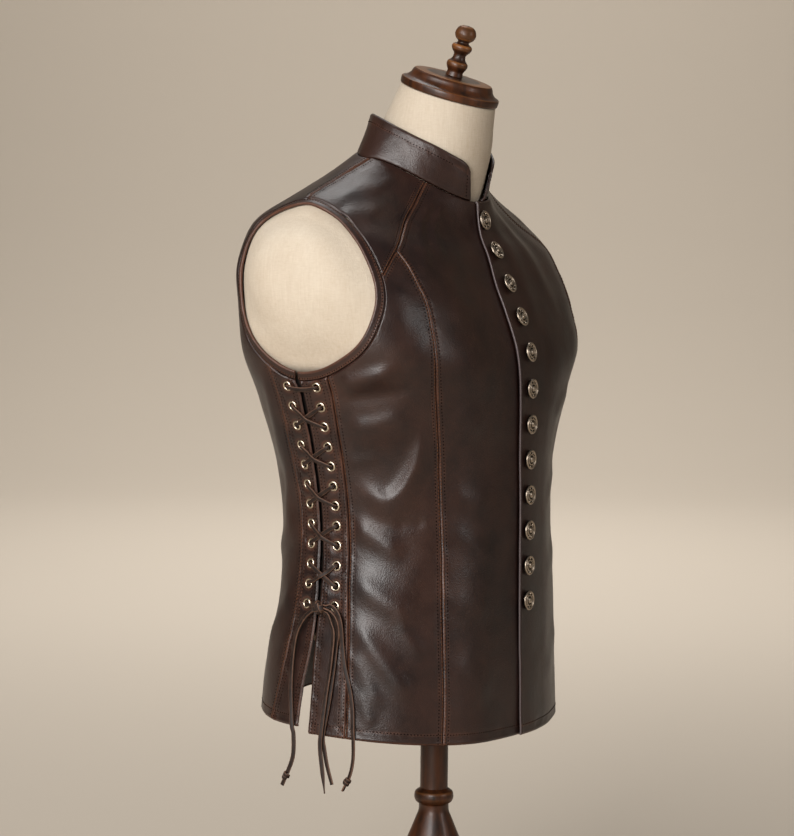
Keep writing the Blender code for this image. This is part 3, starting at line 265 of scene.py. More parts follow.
# Each loop of the tie knot: lean, radius, start of its turn, width and thickness of the thong
KNOT_LOOPS = ((0.30, 0.0054, 0.0, 0.0060, 0.0026), (-1.2, 0.0058, 1.9, 0.0054, 0.0024))
KNOT_CORE = (0.0046, 0.0058, 0.0036)
# How far the bare tips narrow
TIP_NARROWING = {"b": 0.8, "c": 0.1}
END_KNOT_LIFT = 0.012


def along(rows, place, closed=False):
    """Values of a table's columns on a smooth curve, at places counted in rows."""
    rows, place = np.asarray(rows, float), np.asarray(place, float)
    last = len(rows) - 1
    if closed:
        k = np.floor(place).astype(int)
        a, b, c, d = (rows[(k + i) % len(rows)] for i in (-1, 0, 1, 2))
    else:
        place = np.clip(place, 0, last)
        k = np.minimum(place.astype(int), last - 1)
        longer = np.concatenate([[2 * rows[0] - rows[1]], rows, [2 * rows[-1] - rows[-2]]])
        a, b, c, d = (longer[k + 1 + i] for i in (-1, 0, 1, 2))
    t = (place - k)[(...,) + (None,) * (rows.ndim - 1)]
    return 0.5 * (2 * b + (c - a) * t + (2 * a - 5 * b + 4 * c - d) * t ** 2
                  + (3 * b - a - 3 * c + d) * t ** 3)


def smooth(start, end, value):
    """Soft step from 0 at start to 1 at end."""
    t = np.clip((np.asarray(value, float) - start) / (end - start), 0.0, 1.0)
    return t * t * (3 - 2 * t)


def bump(value, width):
    """Soft hill of height 1 about 0."""
    return np.exp(-(np.asarray(value, float) / width) ** 2)


def unit(vectors):
    return vectors / np.maximum(np.linalg.norm(vectors, axis=-1, keepdims=True), 1e-12)


def on_ring(ring, turn):
    """Points of rings at turns from the centre front, in degrees."""
    height, middle, half_width, front, back, square, fall, rise = np.moveaxis(ring, -1, 0)
    s, c = np.sin(np.radians(turn)), np.cos(np.radians(turn))
    reach = (abs(s) ** square + abs(c) ** square) ** (-1 / square)
    part = abs(reach * c)
    y = middle + part * np.where(c > 0, -front, back)
    z = height + part ** 1.5 * np.where(c > 0, -fall, rise)
    return np.stack([-reach * s * half_width, y, HEM_HEIGHT + z], -1)


def around_turn(turn):
    return abs((turn + 180) % 360 - 180)


def skin(marks, out=0.0):
    """Points of the vest's outer face at marks of level and turn, moved off it by out."""
    marks = np.asarray(marks, float)
    level, turn = marks[..., 0], marks[..., 1]
    points = on_ring(along(RINGS, level), turn)
    points[..., 1] += CENTRE_DIP * smooth(36, 10, around_turn(turn)) * smooth(12, 8.8, level)
    out = np.asarray(out, float)
    return points + outward(marks) * out[..., None] if out.any() else points


def slopes(marks):
    """How the outer face moves for one level and for one degree of turn."""
    marks = np.asarray(marks, float)
    level, turn = marks[..., 0], marks[..., 1]
    low, high = np.maximum(level - 0.04, 0.0), np.minimum(level + 0.04, NECK_LEVEL)
    up = (skin(np.stack([high, turn], -1)) - skin(np.stack([low, turn], -1)))
    around = skin(np.stack([level, turn + 0.5], -1)) - skin(np.stack([level, turn - 0.5], -1))
    return up / (high - low)[..., None], around


def outward(marks):
    up, around = slopes(marks)
    return unit(np.cross(up, around))


def walk(marks, move):
    """Marks reached from others by short moves along the outer face."""
    up, around = slopes(marks)
    uu, ua, aa = ((a * b).sum(-1) for a, b in ((up, up), (up, around), (around, around)))
    mu, ma = (move * up).sum(-1), (move * around).sum(-1)
    scale = uu * aa - ua * ua
    return marks + np.stack([(mu * aa - ma * ua) / scale, (ma * uu - mu * ua) / scale], -1)


def armhole(place, out=0.0):
    """Marks on the armhole's inner edge, or away from the hole by out."""
    place = np.asarray(place, float)
    marks = along(ARMHOLE, place, closed=True)
    if not out:
        return marks
    ahead = skin(along(ARMHOLE, place + 0.3, True)) - skin(along(ARMHOLE, place - 0.3, True))
    away = unit(np.cross(ahead, outward(marks)))
    inwards = ((skin((7.8, 92.0)) - skin(marks)) * away).sum(-1) > 0
    away = np.where(inwards[..., None], -away, away)
    return walk(marks, away * out)


def panel_armhole(place):
    return armhole(place, BINDING_WIDTH + BINDING_GAP)


def to_armhole(table, place):
    """A table of marks carried on to the armhole."""
    return table + [tuple(panel_armhole(place))]


def lengths(points):
    """Distance along a row of points, from 0."""
    return np.concatenate([[0.0], np.cumsum(np.linalg.norm(np.diff(points, axis=0), axis=1))])


def resampled(values, far, wanted):
    """Values of a row at other distances along it."""
    flat = values.reshape(len(values), -1)
    picked = np.stack([np.interp(wanted, far, column) for column in flat.T], -1)
    return picked.reshape((len(np.atleast_1d(wanted)),) + values.shape[1:])


def traced(table, count=240):
    """Marks close together on a smooth curve through a table of marks."""
    return along(table, np.linspace(0, len(table) - 1, count + 1))


def spread(table, count):
    """Marks at even steps of length along a table of marks."""
    fine = traced(table)
    far = lengths(skin(fine))
    return resampled(fine, far, np.linspace(0, far[-1], count + 1))


def between(first, last, share):
    return tuple(a + (b - a) * share for a, b in zip(first, last))


def lap_edge():
    """Front edge from hem to neck."""
    levels = np.linspace(0, NECK_LEVEL, 121)
    past = along(LAP, levels)[:, 0]
    low, high = np.full(len(levels), -30.0), np.full(len(levels), 30.0)
    for _ in range(30):
        turn = (low + high) / 2
        short = -skin(np.stack([levels, turn], -1))[:, 0] < -past
        low, high = np.where(short, turn, low), np.where(short, high, turn)
    return np.stack([levels, (low + high) / 2], -1)


class Value:
    """A shader socket with Python's operators; each adds a Math node."""

    def __init__(self, finish, socket):
        self.finish, self.socket = finish, socket

    def maths(self, operation, first, second):
        return self.finish.value("ShaderNodeMath", {"operation": operation},
                                 {0: first, 1: second})

    def __add__(self, other):
        return self.maths("ADD", self, other)

    def __rsub__(self, other):
        return self.maths("SUBTRACT", other, self)

    def __mul__(self, other):
        return self.maths("MULTIPLY", self, other)

    __radd__, __rmul__ = __add__, __mul__

    def ranged(self, low, high):
        """The value between low and high, moved to the range from 0 to 1 and kept in it."""
        return self.finish.value("ShaderNodeMapRange", {"clamp": True}, {0: self, 1: low, 2: high})


class Finish:
    """A material and the nodes that give it its colour, gloss and grain."""

    def __init__(self, name):
        self.material = bpy.data.materials.new(name)
        self.material.use_nodes = True
        self.tree = self.material.node_tree
        self.shader = self.tree.nodes["Principled BSDF"]
        self.place = self.value("ShaderNodeTexCoord", {}, {}, "Object")

    def value(self, kind, settings, inputs, output=0):
        """Adds a node; gives one of its outputs."""
        made = self.tree.nodes.new(kind)
        for name, setting in settings.items():
            setattr(made, name, setting)
        for name, value in inputs.items():
            self.feed(made.inputs[name], value)
        return Value(self, made.outputs[output])

    def feed(self, socket, value):
        if isinstance(value, Value):
            self.tree.links.new(value.socket, socket)
        else:
            socket.default_value = value

    def set(self, **inputs):
        """Feeds the shader's sockets, named with underscores."""
        for name, value in inputs.items():
            self.feed(self.shader.inputs[name.replace("_", " ")], value)

    def noise(self, scale, detail, rough=0.55, place=None):
        return self.value("ShaderNodeTexNoise", {}, {
            "Vector": place or self.place, "Scale": scale, "Detail": detail, "Roughness": rough})

    def cells(self, scale):
        return self.value("ShaderNodeTexVoronoi", {}, {"Vector": self.place, "Scale": scale},
                          "Distance")

    def stretched(self, scale):
        return self.value("ShaderNodeMapping", {}, {"Vector": self.place, "Scale": scale})

    def attribute(self, name):
        return self.value("ShaderNodeAttribute", {"attribute_name": name}, {}, "Fac")

    def mixed(self, share, first, second):
        first, second = (c if isinstance(c, Value) else (*c, 1.0) for c in (first, second))
        return self.value("ShaderNodeMix", {"data_type": "RGBA"},
                          {0: share, 6: first, 7: second}, 2)

    def bumped(self, height, distance, strength):
        self.set(Normal=self.value("ShaderNodeBump", {}, {
            "Height": height, "Distance": distance, "Strength": strength}))
        return self


def leather_finish(name, dark, brown, worn, gloss):
    """Oiled leather: clouded brown, rubbed red-brown along its edges and seams, with painted edge
    highlights.
    """
    finish = Finish(name)
    clouds = finish.noise(7.0, 4.0, 0.6)
    patches = finish.noise(42.0, 4.0, 0.6)
    specks = finish.noise(330.0, 3.0, 0.6)
    grain = finish.cells(820.0)
    creases = finish.noise(150.0, 5.0, 0.65)
    wear = finish.attribute("wear")
    cloudy = (clouds * 0.6 + patches * 0.4).ranged(0.38, 0.62)
    colour = finish.mixed(cloudy, dark, brown)
    rubbed = (wear * (0.35 + 1.3 * patches) * (0.55 + 0.9 * specks)).ranged(0.05, 0.95)
    # Painted highlight: a pale lilac-grey line along cut edges, in full on the free front edge.
    edge = finish.attribute("pale").ranged(0.0, 1.0)
    colour = finish.mixed(edge, finish.mixed(rubbed, colour, worn), (0.110, 0.085, 0.085))
    finish.set(Base_Color=colour, Roughness=gloss + 0.16 * patches + 0.05 * specks + 0.10 * wear)
    height = grain * 0.5 + creases * 0.9 + specks * 0.4
    return finish.bumped(height, 0.00034, 0.7).material


def thong_finish():
    finish = Finish("thong")
    streaks = finish.noise(160.0, 4.0, 0.6)
    wear = finish.attribute("wear")
    colour = finish.mixed(streaks.ranged(0.35, 0.65), (0.010, 0.0055, 0.0042),
                          (0.026, 0.0135, 0.0090))
    finish.set(Base_Color=finish.mixed((wear * (0.3 + 0.9 * streaks)).ranged(0.1, 1.0), colour,
                                       (0.170, 0.088, 0.056)),
               Roughness=0.44 + 0.22 * streaks, Specular_IOR_Level=0.3)
    return finish.bumped(streaks + 0.4 * finish.cells(900.0), 0.00015, 0.6).material


def thread_finish():
    finish = Finish("thread")
    shade = finish.noise(900.0, 2.0)
    bright = finish.mixed(shade, (0.060, 0.024, 0.013), (0.165, 0.066, 0.030))
    finish.set(Base_Color=finish.mixed(finish.attribute("wear"), (0.0030, 0.0018, 0.0015), bright),
               Roughness=0.9, Specular_IOR_Level=0.1)
    return finish.bumped(finish.noise(2600.0, 2.0), 0.0001, 0.7).material


def canvas_finish():
    """Unbleached plain-weave cotton, a little uneven, with painted shade behind the lacing."""
    finish = Finish("canvas")
    warp = finish.noise(1.0, 2.0, 0.6, finish.stretched((900.0, 900.0, 55.0)))
    weft = finish.noise(1.0, 2.0, 0.6, finish.stretched((160.0, 160.0, 950.0)))
    cloth = warp * 0.5 + weft * 0.5
    clouds = finish.noise(9.0, 4.0, 0.6)
    slubs = finish.noise(1.0, 2.0, 0.5, finish.stretched((420.0, 420.0, 30.0)))
    shade = (clouds * 0.5 + cloth * 0.35 + slubs * 0.15).ranged(0.34, 0.66)
    clean = finish.mixed(shade, (0.44, 0.355, 0.262), (0.58, 0.507, 0.41))
    # Painted shade: the attribute turns the canvas near black behind the lacing gap.
    finish.set(Base_Color=finish.mixed(finish.attribute("wear"), clean, (0.010, 0.006, 0.004)),
               Roughness=0.86)
    return finish.bumped(cloth, 0.0006, 0.8).material


def walnut_finish():
    """Dark stained walnut, rubbed to amber on its edges."""
    finish = Finish("walnut")
    figure = finish.noise(1.0, 5.0, 0.62, finish.stretched((70.0, 70.0, 9.0)))
    pores = finish.noise(1.0, 3.0, 0.6, finish.stretched((620.0, 620.0, 40.0)))
    blotches = finish.noise(26.0, 4.0, 0.6)
    wear = finish.attribute("wear")
    colour = finish.mixed(figure.ranged(0.36, 0.64), (0.0100, 0.0033, 0.0010),
                          (0.074, 0.020, 0.0036))
    amber = (wear * (0.25 + 1.4 * blotches)).ranged(0.25, 1.0)
    finish.set(Base_Color=finish.mixed(amber, colour, (0.215, 0.080, 0.019)),
               Roughness=0.30 + 0.18 * blotches + 0.08 * pores, Specular_IOR_Level=0.4,
               Coat_Weight=0.12, Coat_Roughness=0.16)
    return finish.bumped(pores * 0.5 + figure * 0.5, 0.0003, 0.35).material


def metal_finish(name, dark, bright, rough):
    """Aged metal, dark in its hollows and rubbed bright where it stands proud."""
    finish = Finish(name)
    tarnish = finish.noise(420.0, 4.0, 0.6)
    wear = finish.attribute("wear")
    shine = (wear * 0.75 + tarnish * 0.5).ranged(0.25, 0.85)
    finish.set(Base_Color=finish.mixed(shine, dark, bright),
               Roughness=rough + 0.25 * tarnish * (1.0 - 0.6 * wear), Metallic=1.0)
    return finish.bumped(tarnish, 0.0001, 0.5).material


LEATHER = leather_finish("leather", (0.0105, 0.0044, 0.0038), (0.030, 0.0112, 0.0070),
                         (0.128, 0.047, 0.024), 0.27)
THONG = thong_finish()
THREAD = thread_finish()
CANVAS = canvas_finish()
WALNUT = walnut_finish()
METAL = metal_finish("button_metal", (0.013, 0.009, 0.0065), (0.47, 0.39, 0.31), 0.26)
BRASS = metal_finish("eyelet_metal", (0.16, 0.115, 0.07), (0.76, 0.66, 0.52), 0.22)


def mesh_of(name, bm):
    """Mesh from a bmesh, which is freed."""
    mesh = bpy.data.meshes.new(name)
    bm.to_mesh(mesh)
    bm.free()
    return mesh


def linked(name, data):
    thing = bpy.data.objects.new(name, data)
    bpy.context.scene.collection.objects.link(thing)
    return thing


def shown(name, mesh, material, replaces=()):
    """Smooth object of a mesh that rides on the body."""
    mesh.shade_smooth()
    mesh.materials.append(material)
    thing = linked(name, mesh)
    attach(thing, "root")
    if replaces:
        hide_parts(*replaces)
    return thing


def piece(name, bm, material, replaces=()):
    return shown(name, mesh_of(name, bm), material, replaces)


def join(bm, other):
    """Adds another mesh to one and frees it."""
    made = mesh_of("joined", other)
    bm.from_mesh(made)
    bpy.data.meshes.remove(made)


def closed(bm):
    """Fills a mesh's open ends and turns its faces outwards."""
    bmesh.ops.holes_fill(bm, edges=[e for e in bm.edges if e.is_boundary], sides=0)
    bmesh.ops.recalc_face_normals(bm, faces=bm.faces)
    return bm


def spun(profile, wear, steps, weld, looped=False):
    """Mesh turned about Z from radius and height pairs, each with its wear."""
    bm = bmesh.new()
    layer = bm.verts.layers.float.new("wear")
    row = []
    for (radius, height), worn in zip(profile, wear):
        vert = bm.verts.new((radius, 0, height))
        vert[layer] = worn
        row.append(vert)
    edges = [bm.edges.new(pair) for pair in zip(row, row[1:] + (row[:1] if looped else []))]
    bmesh.ops.spin(bm, geom=row + edges, cent=(0, 0, 0), axis=(0, 0, 1), angle=math.tau,
                   steps=steps, use_merge=True)
    bmesh.ops.remove_doubles(bm, verts=bm.verts, dist=weld)
    return bm


def laid(points, wear, pale=None, wrapped=False):
    """Mesh of a grid laid over rows of points; a wrapped one is welded into a tube."""
    rows, columns = points.shape[0] - 1, points.shape[1] - 1
    bm = bmesh.new()
    # Layer wear: rubbing, and painted shade on the form; layer pale: painted highlight on edges.
    layers = [(bm.verts.layers.float.new(name), values)
              for name, values in (("wear", wear), ("pale", pale)) if values is not None]
    bmesh.ops.create_grid(bm, x_segments=columns, y_segments=rows, size=1.0)
    for vert in bm.verts:
        i = round((vert.co.x + 1) / 2 * columns)
        j = round((vert.co.y + 1) / 2 * rows)
        vert.co = points[j, i]
        for layer, values in layers:
            vert[layer] = values[j, i]
    if wrapped:
        bmesh.ops.remove_doubles(bm, verts=bm.verts, dist=1e-6)
    return bm


def mirrored(points, side):
    return points * np.array((side, 1.0, 1.0))


# Camera and light

CAMERA_PLACE = Vector((-2.3642, -1.3600, 0.760))
CAMERA_TURN = math.radians(60.0)
CAMERA_DOWN = math.radians(4.357)
CAMERA_ASIDE = math.radians(-0.7765)
CAMERA_ROLL = math.radians(0.6)
CAMERA_LENS, CAMERA_SENSOR = 117.56, 36.0
STAGE_RADIUS, STAGE_CURVE, STAGE_HEIGHT = 4.6, 2.4, 6.0
WORLD_STRENGTH = 0.13
LIGHT_COLOUR = (1.0, 0.98, 0.96)
# Name, place, what it points at, width and height, power and spread
LIGHTS = (
    ("key", (-2.5, 0.6, 2.2), (0, 0, 0.65), (1.1, 1.1), 36.0, 180),
    ("tall", (-2.9, -0.5, 1.35), (0, 0, 0.75), (1.2, 1.6), 86.0, 180),
    ("front", (0.15, -3.1, 1.35), (0, 0, 0.8), (0.5, 1.2), 16.0, 180),
    ("wall", (1.6, 0.9, 4.6), (5.6, 3.2, 1.9), (2.0, 2.0), 54.0, 85),
    ("ground", (2.5, 1.45, 4.4), (2.5, 1.45, 0.0), (2.0, 2.0), 62.0, 90),
)


def turned(first, second, angle):
    """Two directions turned in their own plane."""
    c, s = math.cos(angle), math.sin(angle)
    return first * c + second * s, second * c - first * s


def make_camera():
    ahead = Vector((math.sin(CAMERA_TURN), math.cos(CAMERA_TURN), 0))
    right, up = Vector((ahead.y, -ahead.x, 0)), Vector((0, 0, 1))
    ahead, right = turned(ahead, right, CAMERA_ASIDE)
    ahead, up = turned(ahead, up, -CAMERA_DOWN)
    right, up = turned(right, up, CAMERA_ROLL)
    data = bpy.data.cameras.new("camera")
    data.lens, data.sensor_width = CAMERA_LENS, CAMERA_SENSOR
    data.clip_start, data.clip_end = 0.05, 100.0
    thing = linked("camera", data)
    thing.matrix_world = Matrix.Translation(CAMERA_PLACE) @ Matrix(
        (right, up, -ahead)).transposed().to_4x4()
    bpy.context.scene.camera = thing


def make_light(name, place, target, size, power, spread):
    data = bpy.data.lights.new(name, "AREA")
    data.shape, data.size, data.size_y = "RECTANGLE", size[0], size[1]
    data.energy, data.color, data.spread = power, LIGHT_COLOUR, math.radians(spread)
    thing = linked(name, data)
    thing.location = place
    thing.rotation_euler = (Vector(target) - Vector(place)).to_track_quat("-Z", "Y").to_euler()


def make_studio():
    """Plain pale floor that curves up all round, soft boxes and a dim pale world."""
    floor = Finish("floor")
    floor.set(Base_Color=(0.50, 0.44, 0.365, 1.0), Roughness=0.92)
    profile = [(STAGE_RADIUS * k / 4, 0.0) for k in range(5)]
    profile += [(STAGE_RADIUS + STAGE_CURVE * math.sin(a), STAGE_CURVE * (1 - math.cos(a)))
                for a in (math.radians(9 * k) for k in range(1, 11))]
    profile.append((STAGE_RADIUS + STAGE_CURVE, STAGE_HEIGHT))
    bm = spun(profile, [0.0] * len(profile), 96, 1e-5)
    bmesh.ops.recalc_face_normals(bm, faces=bm.faces)
    mesh = mesh_of("floor", bm)
    mesh.shade_smooth()
    mesh.materials.append(floor.material)
    thing = linked("floor", mesh)
    world = bpy.data.worlds.new("world")
    bpy.context.scene.world = world
    world.use_nodes = True
    background = world.node_tree.nodes["Background"]
    background.inputs["Color"].default_value = (1.0, 0.975, 0.94, 1.0)
    background.inputs["Strength"].default_value = WORLD_STRENGTH
    bpy.context.scene.view_settings.view_transform = "Standard"
    for light in LIGHTS:
        make_light(*light)


# Eyelets, knots and hanging ends

def eyelet_marks():
    """Marks of the eyelets from the top one down, on the front and the back band."""
    columns = {}
    heights = [EYELET_TOP - EYELET_PITCH * k for k in range(EYELETS)]
    for word, gap, band, gap_at, band_at in BANDS:
        sides = []
        for table, place in ((gap, gap_at), (band, band_at)):
            edge = spread(to_armhole(table, place), 60)
            sides.append(resampled(edge, skin(edge)[:, 2] - HEM_HEIGHT, heights))
        columns[word] = sides[0] + (sides[1] - sides[0]) * EYELET_SHARES[word]
    return columns


EYELET_MARKS = eyelet_marks()


def knot_place():
    """Mark under the knot, its centre, and its directions forward, up and off the leather."""
    mark = (EYELET_MARKS["front"][-1] + EYELET_MARKS["back"][-1]) / 2
    mark = walk(mark, np.array(KNOT_SHIFT))
    normal = outward(mark)
    out = unit(np.array((normal[0], normal[1], 0.0)))
    up = np.array((0.0, 0.0, 1.0))
    return mark, skin(mark, KNOT_OUT), np.cross(up, out), up, out


def tail_line(tail):
    """Close points of one hanging end, from the knot's underside to its tip."""
    _, centre, forward, up, out = knot_place()
    start = centre + forward * tail.start[0] + up * tail.start[1] + out * tail.start[2]
    rough = [start] + [skin((level, turn), far + 0.0004) for level, turn, far in tail.route]
    last = rough[-1]
    rough += [last + forward * ahead - up * down for ahead, down in tail.below]
    fine = along(rough, np.linspace(0, len(rough) - 1, 401))
    far = lengths(fine)
    return resampled(fine, far, np.linspace(0, far[-1], 120))


def ribbon(line, wide, width, thick, corners=16):
    """Flat thong with rounded edges along a line; wide points across it. Width may vary."""
    ahead = unit(np.gradient(line, axis=0))
    wide = unit(wide - ahead * (wide * ahead).sum(-1, keepdims=True))
    high = np.cross(ahead, wide)
    angle = np.linspace(0, math.tau, corners + 1)
    across, rise = (np.sign(a) * abs(a) ** RIBBON_POWER for a in (np.cos(angle), np.sin(angle)))
    width = np.broadcast_to(width, len(line))
    points = (line[:, None] + wide[:, None] * across[None, :, None] * width[:, None, None] / 2
              + high[:, None] * rise[None, :, None] * thick / 2)
    rubbed = np.broadcast_to(bump(abs(across) - 0.95, 0.2), points.shape[:2])
    return closed(laid(points, rubbed, wrapped=True))


def make_tails():
    forward = knot_place()[2]
    for tail in TAILS:
        line = body = tail_line(tail)
        if tail.knotted:
            far = lengths(line)
            body = resampled(line, far, np.linspace(0, far[-1] - END_KNOT_LIFT, 110))
        share = np.linspace(0, 1, len(body))
        width = THONG_WIDTH * (0.86 + 0.14 * smooth(0.0, 0.12, share))
        if not tail.knotted:
            width = width * (1 - TIP_NARROWING[tail.name] * smooth(0.88, 1.0, share))
        for side, word in SIDES:
            twist = np.radians(18 * np.sin(share * 5.2 + len(tail.route) + side))
            off = np.cross(np.gradient(body, axis=0), forward)
            wide = forward * np.cos(twist)[:, None] + unit(off) * np.sin(twist)[:, None]
            path = mirrored(body, side)
            bm = ribbon(path, mirrored(wide, side), width, THONG_THICK)
            thing = piece(f"thong_end_{tail.name}_{word}", bm, THONG,
                          [f"tail_{tail.name}_{word}"])
            others = []
            if tail.knotted:
                others = [end_knot(tail, path, mirrored(line, side), word)]


def end_knot(tail, path, line, word):
    """Overhand knot pulled tight near a thong's tip, with its stub."""
    ahead = unit(line[-1] - path[-1])
    start = path[-1] - ahead * 0.001
    aside = unit(np.cross(ahead, (0.0, 0.0, 1.0) if abs(ahead[2]) < 0.9 else (1.0, 0.0, 0.0)))
    other = np.cross(ahead, aside)
    turns = np.linspace(0, 1, 90)
    angle = turns * math.tau * 1.6 + 0.6
    radius = 0.0020 + 0.0008 * np.sin(turns * math.pi)
    centre = start + ahead * 0.0042
    coil = (centre + ahead * (0.0022 * np.cos(turns * math.pi))[:, None]
            + aside * (radius * np.cos(angle))[:, None] + other * (radius * np.sin(angle))[:, None])
    bm = ribbon(coil, np.broadcast_to(ahead, coil.shape), 0.0036, 0.0019, corners=10)
    stub = start + ahead * np.linspace(0.003, END_KNOT_LIFT + 0.003, 12)[:, None]
    join(bm, ribbon(stub, np.broadcast_to(aside, stub.shape), 0.0040, THONG_THICK, corners=10))
    return piece(f"end_knot_{tail.name}_{word}", bm, THONG,
                 [f"tail_{tail.name}_knot_{word}"])


# Leather panels

# One side of a panel: its marks, how far along it each lies, and where its parts meet
Edge = namedtuple("Edge", "marks far corners")
# How leather looks near a side: depth of the rolled edge, height of the ridge beside it, distances
# of rows of bright thread and of needle holes, height of the puckers, rubbing and painted edge
# highlight
Style = namedtuple("Style", "roll ridge threads holes pucker worn pale")
# The last value of each style is the strength of a painted highlight along the very edge.
SEAM = Style(0.0012, 0.00030, (0.0019,), (0.0054,), 0.00045, 0.75, 0.0)
STRAP = Style(0.0012, 0.00030, (), (0.0026, 0.0072), 0.00095, 0.95, 0.0)
LACED = Style(0.0009, 0.00045, (), (0.0038, 0.0078), 0.00055, 0.65, 0.10)
HEM = Style(0.0010, 0.00025, (), (0.0100,), 0.00055, 1.0, 0.1)
FREE = Style(0.0006, 0.00010, (), (), 0.0, 0.10, 1.0)
UNDER = Style(0.0014, 0.0, (), (), 0.00020, 0.25, 0.0)
COLLAR_EDGE = Style(0.0010, 0.0002, (), (0.0085,), 0.00045, 0.7, 0.2)
# Lines of a panel's grid beside its sides, and its spacing between them
FINE_LINES = (0.0, 0.0006, 0.0013, 0.0021, 0.0030, 0.0040, 0.0052)
STEP = 0.0027
BAND_STEP = 0.0015
FOLD_POINTS = 25
EDGE_POINTS = 61
CUT_RADIUS = 0.0036
COLLAR_END_ROW = 0.0080
STITCH_PITCH = 0.0033
BINDING_PITCH, BINDING_REACH = 0.003, 0.0006


def edge_of(*parts):
    """One side of a panel from rows of marks that follow on."""
    marks = np.concatenate([parts[0]] + [part[1:] for part in parts[1:]])
    far = lengths(skin(marks))
    ends = np.cumsum([len(part) - 1 for part in parts])[:-1]
    return Edge(marks, far / far[-1], tuple(far[ends] / far[-1]))


def evenly(first, last):
    return np.linspace(first, last, EDGE_POINTS)


def hole_marks(first, last, count):
    return panel_armhole(np.linspace(first, last, count))


def shoulder_marks():
    return traced([tuple(panel_armhole(AT_SHOULDER))] + SHOULDER_SEAM[1:])


def both_sides(name, edges, styles, seed, folds=None, **more):
    """A panel and its mirror image, each with folds of its own."""
    for side, word in SIDES:
        leather_panel(f"{name}_{word}", side, edges, styles, seed + side,
                      folds=folds[side] if folds else (), **more)


def spaced(length, corners, step):
    """Places from 0 to 1 along a side, closer together at both ends and meeting its corners."""
    fine = np.array(FINE_LINES) / length
    stops = [fine[-1], *sorted(corners), 1 - fine[-1]]
    places = [fine[:-1]]
    for a, b in zip(stops, stops[1:]):
        places.append(np.linspace(a, b, max(2, round((b - a) * length / step)) + 1)[:-1])
    return np.concatenate(places + [1 - fine[::-1]])


def wave(far, seed, pitch):
    """Uneven ripple along a seam, from -1 to 1."""
    random = np.random.default_rng(seed)
    knots = random.uniform(-1, 1, 400)
    return along(knots[:, None], (far / pitch) % 397)[..., 0]


def side_relief(near, far, style, seed):
    """Height, rubbing and painted edge highlight of leather near one of its sides."""
    height = -style.roll * bump(near, 0.0010) + style.ridge * bump(near - 0.0022, 0.0013)
    for row in style.threads + style.holes:
        height = height - 0.00026 * bump(near - row, 0.0007)
    centre = max(style.threads + style.holes, default=0.003)
    ripple = (0.6 * wave(far + 0.8 * near, seed, 0.0046)
              + 0.5 * wave(far + 0.5 * near, seed + 7, 0.011))
    height = height + style.pucker * bump(near - centre * 0.8, 0.0048) * ripple
    patchy = 0.65 + 0.50 * wave(far, seed + 3, 0.019)
    rubbed = style.worn * (0.72 * bump(near - 0.0009, 0.0005) + 0.09 * bump(near, 0.0050)) * patchy
    for row in style.holes:
        rubbed = rubbed + 0.42 * style.worn * bump(near - row, 0.0011) * patchy
    return height, rubbed, style.pale * bump(near, 0.0005)


def soft_noise(points, scale, seed):
    offset = Vector((seed * 7.31, seed * 3.17, seed * 1.93))
    flat = points.reshape(-1, 3)
    values = [noise.noise(Vector(point) / scale + offset) for point in flat]
    return np.array(values).reshape(points.shape[:-1])


def flat_place(marks):
    marks = np.asarray(marks, float)
    return np.stack([marks[..., 1] * TURN_LENGTH, along(RINGS, marks[..., 0])[..., 0]], -1)


def fold_rise(marks, folds):
    """Height of folds over the plain outer face."""
    here, height = flat_place(marks), np.zeros(marks.shape[:-1])
    for fold in folds:
        route = along(flat_place(fold.marks), np.linspace(0, len(fold.marks) - 1, FOLD_POINTS))
        nearest, share = np.full(height.shape, np.inf), np.zeros(height.shape)
        for k, (a, b) in enumerate(zip(route, route[1:])):
            t = np.clip(((here - a) * (b - a)).sum(-1) / ((b - a) ** 2).sum(), 0.0, 1.0)
            apart = np.linalg.norm(here - (a + (b - a) * t[..., None]), axis=-1)
            closer = apart < nearest
            nearest = np.where(closer, apart, nearest)
            share = np.where(closer, (k + t) / (len(route) - 1), share)
        fade = smooth(0.0, 0.3, share) * smooth(1.0, 0.7, share)
        height += fold.height * fade * bump(nearest, fold.width)
    return height


stitches = []


def stitch_row(points, normals, near, row, bright):
    """Bright thread or dark needle holes along one side of a panel, at a distance from it."""
    places, ups = [], []
    for line, normal, apart in zip(points, normals, near):
        if apart[-1] > row:
            places.append(resampled(line, apart, row)[0])
            ups.append(resampled(normal, apart, row)[0])
    if len(places) < 3:
        return
    places, ups = np.array(places), unit(np.array(ups))
    far = lengths(places)
    count = int(far[-1] / STITCH_PITCH)
    middle = (np.arange(count) + 0.5) * STITCH_PITCH
    reach = STITCH_PITCH * (0.38 if bright else 0.24)
    start, end = (resampled(places, far, middle + step * reach) for step in (-1, 1))
    stitches.append((start, end, unit(resampled(ups, far, middle)), np.full(count, float(bright))))


def parts_of(style):
    """The styles along one side, each with where it begins and ends, from 0 to 1."""
    return style if isinstance(style, list) else [(0.0, 1.0, style)]


def measured(points):
    """Lengths over a grid from its first column and from its first row, and its flat size."""
    across = np.linalg.norm(np.diff(points, axis=1), axis=-1)
    up = np.linalg.norm(np.diff(points, axis=0), axis=-1)
    return (np.pad(np.cumsum(across, 1), ((0, 0), (1, 0))),
            np.pad(np.cumsum(up, 0), ((1, 0), (0, 0))),
            (float(across.sum(1).max()), float(up.sum(0).max())))


def relief(sides):
    """Height, rubbing and painted edge highlight of a panel from those near its sides, with their
    shares.
    """
    height, wear, pale = 0.0, 0.0, 0.0
    for near, far, style, seed, share in sides:
        more, rubbed, edge_highlight = side_relief(near, far, style, seed)
        height, wear = height + more * share, np.maximum(wear, rubbed * share)
        pale = np.maximum(pale, edge_highlight * share)
    return height, wear, pale


